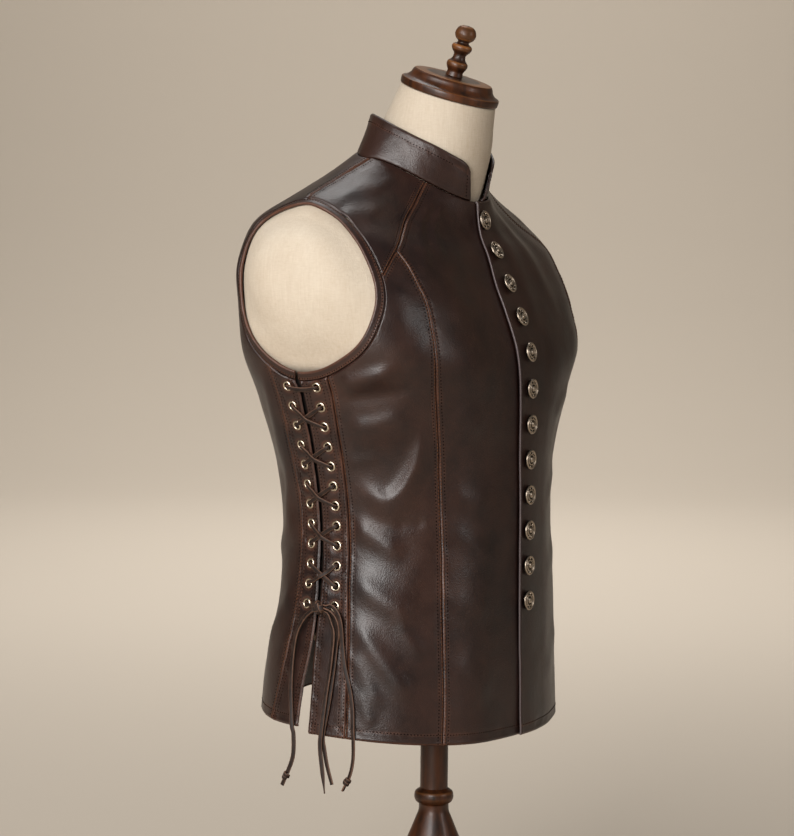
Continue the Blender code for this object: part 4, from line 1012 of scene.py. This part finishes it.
def leather_piece(name, bm, points, normals, wall):
    """Leather from an open sheet, its faces turned outwards and its wall laid inwards."""
    points, normals = points.reshape(-1, 3), normals.reshape(-1, 3)
    bm.normal_update()
    bm.faces.ensure_lookup_table()
    face = bm.faces[len(bm.faces) // 2]
    nearest = ((points - np.array(face.calc_center_median())) ** 2).sum(-1).argmin()
    if face.normal.dot(Vector(normals[nearest])) < 0:
        bmesh.ops.reverse_faces(bm, faces=bm.faces)
    area = sum(face.calc_area() for face in bm.faces)
    thing = piece(f"leather_{name}", bm, LEATHER, [name])
    solid = thing.modifiers.new("wall", "SOLIDIFY")
    solid.thickness, solid.offset = wall, -1.0


def leather_panel(name, side, edges, styles, seed, lift=None, step=STEP, holes=(), folds=()):
    """Leather laid on the vest's face between four edges: bottom, top, left and right."""
    bottom, top, left, right = edges
    across = max(lengths(skin(edge.marks))[-1] for edge in (bottom, top))
    tall = max(lengths(skin(edge.marks))[-1] for edge in (left, right))
    u = spaced(across, bottom.corners + top.corners, step)
    v = spaced(tall, left.corners + right.corners, step)
    low, high = (resampled(edge.marks, edge.far, u) for edge in (bottom, top))
    start, end = (resampled(edge.marks, edge.far, v) for edge in (left, right))
    uu, vv = u[None, :, None], v[:, None, None]
    marks = ((1 - vv) * low[None] + vv * high[None] + (1 - uu) * start[:, None] + uu * end[:, None]
             - ((1 - uu) * (1 - vv) * low[0] + uu * (1 - vv) * low[-1]
                + (1 - uu) * vv * high[0] + uu * vv * high[-1]))
    rise = lift(marks) if lift else np.zeros(marks.shape[:2])
    points, normals = skin(marks, rise), outward(marks)
    from_left, from_bottom, flat = measured(points)
    near = {"left": from_left, "right": from_left[:, -1:] - from_left,
            "bottom": from_bottom, "top": from_bottom[-1:] - from_bottom}
    sides = []
    for k, (word, style) in enumerate(styles.items()):
        upright = word in ("left", "right")
        far = from_bottom if upright else from_left
        share = far / np.maximum(far.max(0 if upright else 1, keepdims=True), 1e-9)
        for first, last, way in parts_of(style):
            there = smooth(first - 0.01, first + 0.01, share) if first > 0 else 1.0
            there = there * (smooth(last + 0.01, last - 0.01, share) if last < 1 else 1.0)
            sides.append((near[word], far, way, seed * 10 + k, there))
    height, wear, pale = relief(sides)
    placed = mirrored(points, side)
    height += 0.00070 * soft_noise(placed, 0.055, seed) + 0.00022 * soft_noise(placed, 0.020, seed)
    height += fold_rise(marks, folds)
    if len(holes):
        apart = np.linalg.norm(points[..., None, :] - skin(holes), axis=-1).min(-1)
        height += 0.0009 * bump(apart - 0.0115, 0.0050) - 0.0005 * bump(apart, 0.0060)
        wear = np.maximum(wear, 0.35 * bump(apart - 0.0060, 0.0014))
    points = mirrored(points + normals * height[..., None], side)
    normals = mirrored(normals, side)
    bm = laid(points, np.clip(wear, 0, 1), pale)
    if len(holes):
        centres = [Vector(point) for point in mirrored(skin(holes), side)]
        gone = [face for face in bm.faces
                if min((face.calc_center_median() - c).length for c in centres) < CUT_RADIUS]
        bmesh.ops.delete(bm, geom=gone, context="FACES")
    leather_piece(name, bm, points, normals, WALL)
    for word, style in styles.items():
        for first, last, way in parts_of(style):
            rows = placed_rows(points, normals, near[word], word, first, last)
            for row in way.threads + way.holes:
                stitch_row(*rows, row, row in way.threads)


def placed_rows(points, normals, near, word, first, last):
    """Rows that run in from one side of a grid, over part of its length."""
    if word in ("bottom", "top"):
        points, normals, near = (np.swapaxes(a, 0, 1) for a in (points, normals, near))
    if word in ("right", "top"):
        points, normals, near = (a[:, ::-1] for a in (points, normals, near))
    count = len(points)
    part = slice(int(first * (count - 1)), int(math.ceil(last * (count - 1))) + 1)
    return points[part], normals[part], near[part]


def over_rise(marks):
    return LAP_RISE * smooth(30.0, 13.0, marks[..., 1])


def make_fronts():
    chest = traced(CHEST_SEAM)[::-1]
    side_edge = edge_of(traced(PRINCESS), chest)
    lap = edge_of(lap_edge())
    neck = edge_of(evenly(side_edge.marks[-1], lap.marks[-1]))
    hem = edge_of(evenly(side_edge.marks[0], lap.marks[0]))
    edges = (hem, neck, side_edge, lap)
    styles = {"left": SEAM, "right": FREE, "bottom": HEM, "top": UNDER}
    leather_panel("front_right", 1, edges, styles, 1, folds=FRONT_FOLDS[1])
    leather_panel("front_left", -1, edges, styles, 2, over_rise, folds=FRONT_FOLDS[-1])


def make_side_fronts():
    band = edge_of(traced(to_armhole(BAND_FRONT, AT_BAND_FRONT)))
    princess = edge_of(traced(PRINCESS))
    hole = hole_marks(AT_BAND_FRONT, AT_YOKE, EDGE_POINTS)
    top = edge_of(hole, evenly(hole[-1], princess.marks[-1]))
    hem = edge_of(evenly(band.marks[0], princess.marks[0]))
    corner = top.corners[0]
    styles = {"left": SEAM, "right": SEAM, "bottom": HEM,
              "top": [(0.0, corner, UNDER), (corner, 1.0, SEAM)]}
    both_sides("side_front", (hem, top, band, princess), styles, 3, SIDE_FOLDS)


def make_yokes():
    chest = traced(CHEST_SEAM)[::-1]
    seam = edge_of(evenly(panel_armhole(AT_YOKE), chest[0]), chest)
    hole = edge_of(hole_marks(AT_YOKE, AT_SHOULDER, EDGE_POINTS))
    neck = edge_of(evenly(np.array(CHEST_SEAM[0]), np.array(SHOULDER_SEAM[-1])))
    styles = {"bottom": SEAM, "top": SEAM, "left": UNDER, "right": UNDER}
    both_sides("yoke_front", (seam, edge_of(shoulder_marks()), hole, neck), styles, 6, YOKE_FOLDS)


def make_backs():
    band = traced(to_armhole(BAND_BACK, AT_BAND_BACK))
    hole = hole_marks(AT_BAND_BACK, len(ARMHOLE), 121)
    side_edge = edge_of(band, hole, shoulder_marks())
    middle = edge_of(np.stack([np.linspace(0, NECK_LEVEL, 241), np.full(241, 180.0)], -1))
    hem = edge_of(evenly(middle.marks[0], side_edge.marks[0]))
    neck = edge_of(evenly(middle.marks[-1], side_edge.marks[-1]))
    low, high = side_edge.corners
    styles = {"left": SEAM, "bottom": HEM, "top": UNDER,
              "right": [(0.0, low, SEAM), (low, high, UNDER), (high, 1.0, SEAM)]}
    both_sides("back", (hem, neck, middle, side_edge), styles, 9, BACK_FOLDS)


def make_bands():
    styles = {"left": LACED, "right": STRAP, "bottom": HEM, "top": UNDER}
    for part, gap, band, gap_at, band_at in BANDS:
        inner = edge_of(traced(to_armhole(gap, gap_at)))
        outer = edge_of(traced(to_armhole(band, band_at)))
        hem = edge_of(evenly(inner.marks[0], outer.marks[0]))
        hole = edge_of(hole_marks(gap_at, band_at, EDGE_POINTS))
        both_sides(f"lace_band_{part}", (hem, hole, inner, outer), styles, 12 + (part == "back"),
                   step=BAND_STEP, holes=EYELET_MARKS[part])


def make_bindings():
    """Rolled band round each armhole, parted by the lacing gap."""
    place = np.linspace(AT_GAP_BACK, AT_GAP_FRONT + len(ARMHOLE), 261)
    marks = armhole(place)
    normal = outward(marks)
    wide = unit(skin(armhole(place, BINDING_WIDTH)) - skin(marks))
    high = unit(normal - wide * (normal * wide).sum(-1, keepdims=True))
    middle = skin(marks) - normal * WALL / 2
    section = np.array([
        (0.0, 0.0), (0.0002, 0.0009), (0.0009, 0.0016), (0.0020, 0.0018), (0.0034, 0.0014),
        (0.0050, 0.0013), (0.0060, 0.0012), (0.0066, 0.0009), (0.0072, 0.0011), (0.0080, 0.0010),
        (0.0088, 0.0004), (0.0090, -0.0006), (0.0084, -0.0016), (0.0050, -0.0017),
        (0.0020, -0.0017), (0.0006, -0.0012)])
    section = np.concatenate([section, section[:1]])
    ripple = 1 + 0.10 * wave(lengths(middle), 71, 0.009)[:, None]
    for side, word in SIDES:
        points = (middle[:, None] + wide[:, None] * section[None, :, :1]
                  + high[:, None] * (section[:, 1] * ripple)[..., None])
        wear = np.broadcast_to(0.55 * bump(section[:, 0] - 0.0004, 0.0012)
                               + 0.45 * bump(section[:, 0] - 0.0068, 0.0012), points.shape[:2])
        bm = closed(laid(mirrored(points, side), wear, wrapped=True))
        piece(f"leather_binding_{word}", bm, LEATHER, [f"armhole_binding_{word}"])
        row = mirrored(middle + wide * 0.0067 + high * 0.0011, side)
        far = lengths(row)
        centre = (np.arange(int(far[-1] / BINDING_PITCH)) + 0.5) * BINDING_PITCH
        start, end = (resampled(row, far, centre + step * BINDING_REACH) for step in (-1, 1))
        stitches.append((start, end, unit(resampled(mirrored(high, side), far, centre)),
                         np.zeros(len(centre))))


def collar_point(up, turn):
    """Points of the collar from its seam (0) to its top edge (1)."""
    low, high = on_ring(RINGS[-1][None, None], turn), on_ring(COLLAR_TOP[None, None], turn)
    high[..., 2] += along(COLLAR_RISE, around_turn(turn) / COLLAR_RISE[1][0])[..., 1]
    return low + (high - low) * up[..., None]


def make_collar():
    columns, rows = 280, 24
    u = np.linspace(0, 1, columns + 1)[None, :]
    up = np.linspace(0, 1, rows + 1)[:, None]
    ease = u - 0.35 * np.sin(4 * math.pi * u) / (4 * math.pi)
    start = 8.5 + 11.0 * up
    turn = start + (360 - 2 * start) * ease
    end = np.minimum(u, 1 - u) * 28
    t = np.clip(1 - end / 2, 0, 1)
    short = COLLAR_CORNER / COLLAR_HEIGHT * (1 - np.sqrt(np.maximum(1 - t * t, 0.0)))
    level = (1 + COLLAR_TUCK - short) * up - COLLAR_TUCK
    points, plain = collar_point(level, turn), collar_point(up, turn)
    normals = unit(np.cross(np.gradient(plain, axis=0), np.gradient(plain, axis=1)))
    from_start, from_bottom, flat = measured(points)
    near_top, near_end = from_bottom[-1:] - from_bottom, from_start[:, -1:] - from_start
    height, wear, pale = relief([(near_top, from_start, COLLAR_EDGE, 31, 1.0),
                                 (from_bottom, from_start, UNDER, 32, 1.0),
                                 (from_start, from_bottom, COLLAR_EDGE, 33, 1.0),
                                 (near_end, from_bottom, COLLAR_EDGE, 34, 1.0)])
    height += 0.0006 * soft_noise(points, 0.030, 5) + 0.0003 * soft_noise(points, 0.012, 6)
    points = points + normals * height[..., None]
    bm = laid(points, np.clip(wear, 0, 1), pale)
    leather_piece("collar", bm, points, normals, COLLAR_WALL)
    stitch_row(*(np.swapaxes(a, 0, 1)[24:-24, ::-1] for a in (points, normals, near_top)),
               COLLAR_EDGE.holes[0], False)
    for near, way in ((from_start, 1), (near_end, -1)):
        stitch_row(*(a[2:-4, ::way] for a in (points, normals, near)), COLLAR_END_ROW, False)


def many(name, shape, frames, material, replaces=(), wear=None):
    """One mesh of a small shape set at many places; a frame is a 3 by 4 array. The shape's own
    wear is used unless each place has one."""
    mesh = mesh_of("shape", shape)
    local = np.zeros(len(mesh.vertices) * 3)
    mesh.vertices.foreach_get("co", local)
    local = local.reshape(-1, 3)
    own = np.zeros(len(local))
    if "wear" in mesh.attributes:
        mesh.attributes["wear"].data.foreach_get("value", own)
    faces = [list(face.vertices) for face in mesh.polygons]
    bpy.data.meshes.remove(mesh)
    frames = np.asarray(frames)
    points = np.einsum("nij,vj->nvi", frames[:, :, :3], local) + frames[:, None, :, 3]
    whole = bpy.data.meshes.new(name)
    whole.from_pydata(points.reshape(-1, 3), [],
                      [[i + k * len(local) for i in face] for k in range(len(frames))
                       for face in faces])
    layer = whole.attributes.new("wear", "FLOAT", "POINT")
    values = np.tile(own, len(frames)) if wear is None else np.repeat(wear, len(local))
    layer.data.foreach_set("value", values.astype(np.float32))
    return shown(name, whole, material, replaces)


def make_stitches():
    """All the thread, sunk a little into the leather."""
    shape = bmesh.new()
    bmesh.ops.create_icosphere(shape, subdivisions=1, radius=1.0)
    start, end, up, bright = (np.concatenate([row[k] for row in stitches]) for k in range(4))
    middle, ahead = (start + end) / 2, end - start
    length = np.linalg.norm(ahead, axis=-1, keepdims=True)
    ahead = ahead / length
    up = unit(up - ahead * (up * ahead).sum(-1, keepdims=True))
    wide = np.cross(ahead, up)
    size = np.where(bright > 0, 0.00044, 0.00062)[:, None]
    frames = np.stack([wide * size, up * 0.00036, ahead * length * 0.58,
                       middle + up * 0.00012], -1)
    many("stitching", shape, frames, THREAD, wear=bright)


def make_eyelets():
    hole, rim, rise = EYELET_HOLE, EYELET_RIM, EYELET_RISE
    profile = [(hole, -0.0020), (hole, 0.0000), (hole + 0.0001, rise * 0.55),
               (hole + 0.0005, rise * 0.95), (hole + 0.0010, rise * 1.15),
               (rim - 0.0006, rise * 0.85), (rim - 0.0001, rise * 0.40), (rim, -0.0002),
               (rim - 0.0004, -0.0006), (hole + 0.0006, -0.0006), (hole + 0.0006, -0.0020),
               (rim - 0.0006, -0.0021), (rim - 0.0004, -0.0026), (hole + 0.0002, -0.0028)]
    wear = [1.0 if height > rise * 0.6 else 0.35 for _, height in profile]
    marks = np.concatenate([EYELET_MARKS["front"], EYELET_MARKS["back"]])
    for side, word in SIDES:
        shape = spun(profile, wear, 24, 1e-7, looped=True)
        bmesh.ops.recalc_face_normals(shape, faces=shape.faces)
        up = mirrored(outward(marks), side)
        wide = unit(np.cross(np.broadcast_to((0.0, 0.0, 1.0), up.shape), up))
        frames = np.stack([wide, np.cross(up, wide), up, mirrored(skin(marks), side)], -1)
        many(f"eyelets_{word}", shape, frames, BRASS)


def lace_stops():
    order, word = [], "back"
    other = {"front": "back", "back": "front"}
    for pair in range(EYELETS, 0, -2):
        order += [(pair, word), (pair - 1, word)]
        word = other[word]
    return order + [(pair, other[w]) for pair, w in reversed(order)]


def lace_line():
    """The laced thong's line as marks and heights off the leather, with its width."""
    stops = lace_stops()
    top = EYELET_RISE + THONG_CLEAR + THONG_THICK / 2
    low = -(WALL + 2 * THONG_CLEAR + THONG_THICK / 2)
    over = top + THONG_THICK + THONG_CLEAR
    knot_mark = knot_place()[0]
    corners = []

    def corner(mark, out, width=1.0):
        corners.append((mark[0], mark[1], out, width))

    def dip(mark, towards, rising):
        """Through an eyelet, from or to the strand that lies towards the other mark."""
        apart = np.linalg.norm(skin(mark) - skin(towards))
        lean, back = (between(mark, towards, far / apart) for far in (LACE_LEAN, -LACE_BACK))
        steps = [(back, low, 0.78), (back, low * 0.2, 0.74), (mark, top * 0.55, 0.76),
                 (lean, top * 1.05, 0.82)]
        for step in steps if rising else reversed(steps):
            corner(*step)

    for n, (pair, word) in enumerate(stops):
        mark = EYELET_MARKS[word][pair - 1]
        if n in (0, len(stops) - 1):
            reach = np.linalg.norm(skin(knot_mark) - skin(mark))
            start = between(mark, knot_mark, 1 - (KNOT_WIDTH / 2 - 0.001) / reach)
            if n == 0:
                corner(start, KNOT_OUT * 0.8)
                corner(between(mark, knot_mark, 0.6), top + 0.0018)
                dip(mark, knot_mark, False)
            else:
                dip(mark, knot_mark, True)
                corner(between(mark, knot_mark, 0.6), top + 0.0018)
                corner(start, KNOT_OUT * 0.8)
            continue
        if n % 2 == 1:
            following = stops[n + 1]
            other = EYELET_MARKS[following[1]][following[0] - 1]
            dip(mark, other, True)
            crossing = following[0] != pair
            upper = word if pair < following[0] else following[1]
            hump = crossing and (upper == "back") != ({pair, following[0]} == LOWEST_CROSSING)
            for share in (0.25, 0.38, 0.5, 0.62, 0.75):
                height = top + (over - top) * (bump(share - 0.5, 0.17) if hump else 0.0)
                spot = np.array(between(mark, other, share))
                drop = LACE_SAG * (1 - (2 * share - 1) ** 2)
                if hump or not crossing:
                    spot = walk(spot, np.array((0.0, 0.0, -drop)))
                corner(spot, height, 0.90 if hump else 1.06)
        else:
            previous = stops[n - 1]
            dip(mark, EYELET_MARKS[previous[1]][previous[0] - 1], False)
            following = stops[n + 1]
            other = EYELET_MARKS[following[1]][following[0] - 1]
            for share in (0.3, 0.7):
                corner(between(mark, other, share), low - 0.0004)
    return np.array(corners)


def make_laces():
    corners = lace_line()
    fine = along(corners, np.linspace(0, len(corners) - 1, (len(corners) - 1) * 5 + 1))
    line = skin(fine[:, :2], fine[:, 2])
    normal = outward(fine[:, :2])
    ahead = np.gradient(line, axis=0)
    flat = ahead - normal * (ahead * normal).sum(-1, keepdims=True)
    size = np.linalg.norm(flat, axis=-1, keepdims=True)
    wide = np.cross(normal, unit(flat) * np.maximum(size, 1e-6))
    for k in range(1, len(wide)):
        if (wide[k] * wide[k - 1]).sum() < 0:
            wide[k] = -wide[k]
    for _ in range(6):
        wide[1:-1] = (wide[:-2] + wide[1:-1] + wide[2:]) / 3
    wide = unit(wide)
    for side, word in SIDES:
        bm = ribbon(mirrored(line, side), mirrored(wide, side), THONG_WIDTH * fine[:, 3],
                    THONG_THICK, corners=12)
        piece(f"lacing_{word}", bm, THONG, [f"lace_{word}"])


def make_knots():
    """Overhand knot that ties the thongs' ends at the last eyelets."""
    _, centre, forward, up, out = knot_place()
    centre = centre + up * 0.0016 + out * 0.0012
    turns = np.linspace(0, 1, 120)
    for side, word in SIDES:
        bm = bmesh.new()
        for lean, size, start, width, thick in KNOT_LOOPS:
            angle = turns * math.tau * 1.05 + start
            along_it = forward * math.cos(lean) + up * math.sin(lean)
            rise = up * math.cos(lean) - forward * math.sin(lean)
            line = (centre + along_it * (size * np.cos(angle))[:, None]
                    + out * (size * 0.72 * np.sin(angle))[:, None]
                    + rise * (0.0030 * (turns - 0.5))[:, None])
            wide = np.broadcast_to(rise, line.shape)
            join(bm, ribbon(mirrored(line, side), mirrored(wide, side), width, thick))
        core = bmesh.new()
        bmesh.ops.create_uvsphere(core, u_segments=20, v_segments=12, radius=1.0)
        for vert in core.verts:
            spot = (centre + forward * vert.co.x * KNOT_CORE[0] + up * vert.co.z * KNOT_CORE[1]
                    + out * vert.co.y * KNOT_CORE[2])
            vert.co = mirrored(spot, side)
        bmesh.ops.recalc_face_normals(core, faces=core.faces)
        join(bm, core)
        piece(f"knot_tie_{word}", bm, THONG, [f"knot_{word}"])


def turned_shape(profile, steps=72, rounding=4):
    """Smooth turned solid from radius and height pairs, rubbed where it bulges."""
    fine = along(profile, np.linspace(0, len(profile) - 1, (len(profile) - 1) * rounding + 1))
    fine[:, 0] = np.maximum(fine[:, 0], 0.0)
    slope = np.gradient(np.gradient(fine[:, 0])) * rounding ** 2
    return closed(spun(fine, np.clip(-slope / 0.004, 0, 1), steps, 1e-6))


def make_stand(form_bottom):
    lean = Matrix.Rotation(NECK_LEAN, 4, "X")
    seat = Vector(NECK_TOP) + lean @ Vector((0, 0, SEAM_GAP))
    cap = [(0.0480, 0.0), (0.0496, 0.0006), (0.0500, 0.0030), (0.0500, 0.0060), (0.0494, 0.0074),
           (0.0470, 0.0084), (0.0446, 0.0098), (0.0424, 0.0122), (0.0414, 0.0144),
           (0.0408, 0.0162), (0.0396, 0.0176), (0.0370, 0.0184), (0.020, CAP_HEIGHT),
           (0.006, CAP_HEIGHT)]
    finial = [(0.0088, 0.0), (0.0084, 0.0020), (0.0080, 0.0050), (0.0096, 0.0080),
              (0.0106, 0.0110), (0.0100, 0.0140), (0.0074, 0.0165), (0.0062, 0.0195),
              (0.0064, 0.0225), (0.0086, 0.0250), (0.0101, 0.0280), (0.0096, 0.0310),
              (0.0060, 0.0335), (0.0058, 0.0350), (0.0088, 0.0375), (0.0104, 0.0410),
              (0.0104, 0.0440), (0.0088, 0.0478), (0.0056, 0.0503), (0.0, 0.0512)]
    for name, profile, far, node in (("cap_turning", cap, 0.0, "neck_cap"),
                                     ("finial_turning", finial, CAP_HEIGHT + SEAM_GAP, "finial")):
        bm = turned_shape(profile)
        shift = Matrix.Translation(seat + lean @ Vector((0, 0, far))) @ lean
        bmesh.ops.transform(bm, matrix=shift, verts=bm.verts)
        piece(name, bm, WALNUT, [node])
    top = form_bottom - SEAM_GAP
    post = [(0.0260, 0.0325), (0.0240, 0.0360), (0.0205, 0.0450), (0.0198, 0.0540),
            (0.0225, 0.0630), (0.0275, 0.0740), (0.0318, 0.0880), (0.0328, 0.0990),
            (0.0318, 0.1100), (0.0272, 0.1250), (0.0228, 0.1360), (0.0200, 0.1430),
            (0.0176, 0.1490), (0.0156, 0.1540), (0.0150, 0.1590), (0.0154, 0.1622),
            (0.0180, 0.1640), (0.0196, 0.1675), (0.0198, 0.1705), (0.0190, 0.1740),
            (0.0166, 0.1762), (0.0144, 0.1778), (0.0140, 0.1800), (0.0140, 0.2000),
            (0.0140, 0.3000), (0.0140, top)]
    piece("post_turning", turned_shape(post), WALNUT, ["post"])
    base = [(BASE_RADIUS - 0.004, 0.0), (BASE_RADIUS - 0.0006, 0.0012), (BASE_RADIUS, 0.0050),
            (BASE_RADIUS, 0.0120), (BASE_RADIUS - 0.0010, 0.0150), (BASE_RADIUS - 0.0060, 0.0180),
            (BASE_RADIUS - 0.0300, 0.0205), (BASE_RADIUS - 0.0800, 0.0235),
            (BASE_RADIUS - 0.1300, 0.0270), (0.0480, 0.0300), (0.0400, 0.0319)]
    piece("base_turning", turned_shape(base, 96), WALNUT, ["base"])


def form_inset(marks):
    """How far the form lies inside the vest; it bulges out of the armholes."""
    level, turn = marks[..., 0], around_turn(marks[..., 1])
    shoulders = smooth(8.6, 10.2, level) * smooth(22, 48, turn)
    armholes = smooth(5.3, 6.3, level) * smooth(40, 56, turn) * smooth(136, 122, turn)
    inside_hole = 1 - ((turn - 91) / 31) ** 2 - ((level - 7.7) / 1.7) ** 2
    return (FORM_INSET + (FORM_SEAT - FORM_INSET) * np.maximum(shoulders, armholes)
            + FORM_NECK_DROP * smooth(10.6, 11.6, level)
            - FORM_BULGE * smooth(-0.25, 1.0, inside_hole))


def make_form():
    """Canvas torso and neck in one smooth body; gives its underside's height."""
    sides = 168
    turns = np.linspace(0, 360, sides + 1)
    levels = np.linspace(FORM_BOTTOM_LEVEL, 11.5, 110)
    marks = np.stack(np.broadcast_arrays(levels[:, None], turns[None, :]), -1)
    body = skin(marks, -form_inset(marks))
    bottom = HEM_HEIGHT + along(RINGS, FORM_BOTTOM_LEVEL)[0] - FORM_FLOOR_DROP
    root = RINGS[-1] - np.array((0.001, 0, FORM_NECK_INSET, FORM_NECK_INSET, FORM_NECK_INSET,
                                 0, 0, 0))
    lean = np.array((0, -math.sin(NECK_LEAN), math.cos(NECK_LEAN)))
    back = np.array((0, math.cos(NECK_LEAN), math.sin(NECK_LEAN)))
    neck = [body[-4], body[-1], on_ring(root[None], turns)]
    for far, radius in ((-0.042, 0.0562), (-0.020, 0.0520), (0.0, 0.0484)):
        angle = np.radians(turns)[:, None]
        neck.append(NECK_TOP + lean * far - np.array((1.0, 0, 0)) * radius * np.sin(angle)
                    - back * radius * np.cos(angle))
    neck = along(np.array(neck), np.linspace(1.1, 5, 40))
    middle = body[0].mean(0)
    floor = [np.concatenate([(middle + (body[0] - middle) * share)[:, :2],
                             np.full((sides + 1, 1), bottom + drop)], 1)
             for share, drop in ((0.0, 0.0), (0.45, 0.0), (0.86, 0.0), (0.94, 0.002),
                                 (0.985, 0.007))]
    top = [neck[-1].mean(0) + (neck[-1] - neck[-1].mean(0)) * share for share in (0.97, 0.5, 0.0)]
    points = np.concatenate([np.array(floor), body, neck, np.array(top)])
    turn = around_turn(turns)
    # Painted shade: canvas behind the lacing gap, in the leather's shadow, is marked to turn near
    # black.
    painted_shade = (smooth(5.75, 5.45, levels)[:, None]
             * (smooth(78, 84, turn) * smooth(114, 108, turn))[None, :])
    painted_shade = np.pad(painted_shade, ((len(floor), len(neck) + len(top)), (0, 0)))
    bm = laid(points, painted_shade, wrapped=True)
    bmesh.ops.recalc_face_normals(bm, faces=bm.faces)
    piece("form", bm, CANVAS, ["form_torso"])
    return float(bottom)


def button_shape():
    """Round cast button: a raised rim, an inner ring, eight petals and a small boss."""
    r = BUTTON_RADIUS
    profile = [(0.0, 0.0014), (r - 0.0012, 0.0014), (r - 0.0003, 0.0020), (r, 0.0030),
               (r - 0.0004, 0.0041), (r - 0.0012, 0.0046), (r - 0.0021, 0.0042),
               (r - 0.0026, 0.0030), (r * 0.60, 0.0032), (r * 0.56, 0.0041), (r * 0.48, 0.0043),
               (r * 0.42, 0.0036), (r * 0.30, 0.0036), (r * 0.24, 0.0048), (r * 0.12, 0.0053),
               (0.0, 0.0054)]
    bm = spun(profile, [float(height > 0.0040) for _, height in profile], 40, 1e-7)
    layer = bm.verts.layers.float["wear"]
    for k in range(PETALS):
        petal = bmesh.ops.create_uvsphere(bm, u_segments=8, v_segments=6, radius=1.0)["verts"]
        bmesh.ops.scale(bm, vec=(0.0011, 0.00062, 0.0009), verts=petal)
        bmesh.ops.translate(bm, vec=(r * 0.685, 0, 0.0036), verts=petal)
        bmesh.ops.rotate(bm, cent=(0, 0, 0), verts=petal,
                         matrix=Matrix.Rotation(k * math.tau / PETALS, 3, "Z"))
        for vert in petal:
            vert[layer] = 0.9 if vert.co.z > 0.0038 else 0.2
    shank = bmesh.ops.create_cone(bm, cap_ends=True, segments=16, radius1=0.0034, radius2=0.0034,
                                  depth=0.0009)["verts"]
    bmesh.ops.translate(bm, vec=(0, 0, 0.00100), verts=shank)
    bmesh.ops.recalc_face_normals(bm, faces=bm.faces)
    return bm


def make_buttons():
    fine = np.stack([FIRST_BUTTON_LEVEL * (1 - np.arange(401) / 400), np.zeros(401)], -1)
    far = lengths(skin(fine))
    marks = resampled(fine, far, np.arange(BUTTONS) * BUTTON_PITCH)
    places, ups = skin(marks, LAP_RISE), outward(marks)
    for k, (place, up) in enumerate(zip(places, ups), 1):
        wide = unit(np.cross((0.0, 0.0, 1.0), up))
        spin = math.radians(37 * k)
        a = wide * math.cos(spin) + np.cross(up, wide) * math.sin(spin)
        frame_of = np.stack([a, np.cross(up, a), up, place], -1)
        many(f"button_cast_{k:02d}", button_shape(), [frame_of], METAL,
             [f"button_{k:02d}"])


make_camera()
make_tails()
make_fronts()
make_side_fronts()
make_yokes()
make_backs()
make_bands()
make_bindings()
make_collar()
make_stitches()
make_eyelets()
make_laces()
make_knots()
make_stand(make_form())
make_buttons()
make_studio()
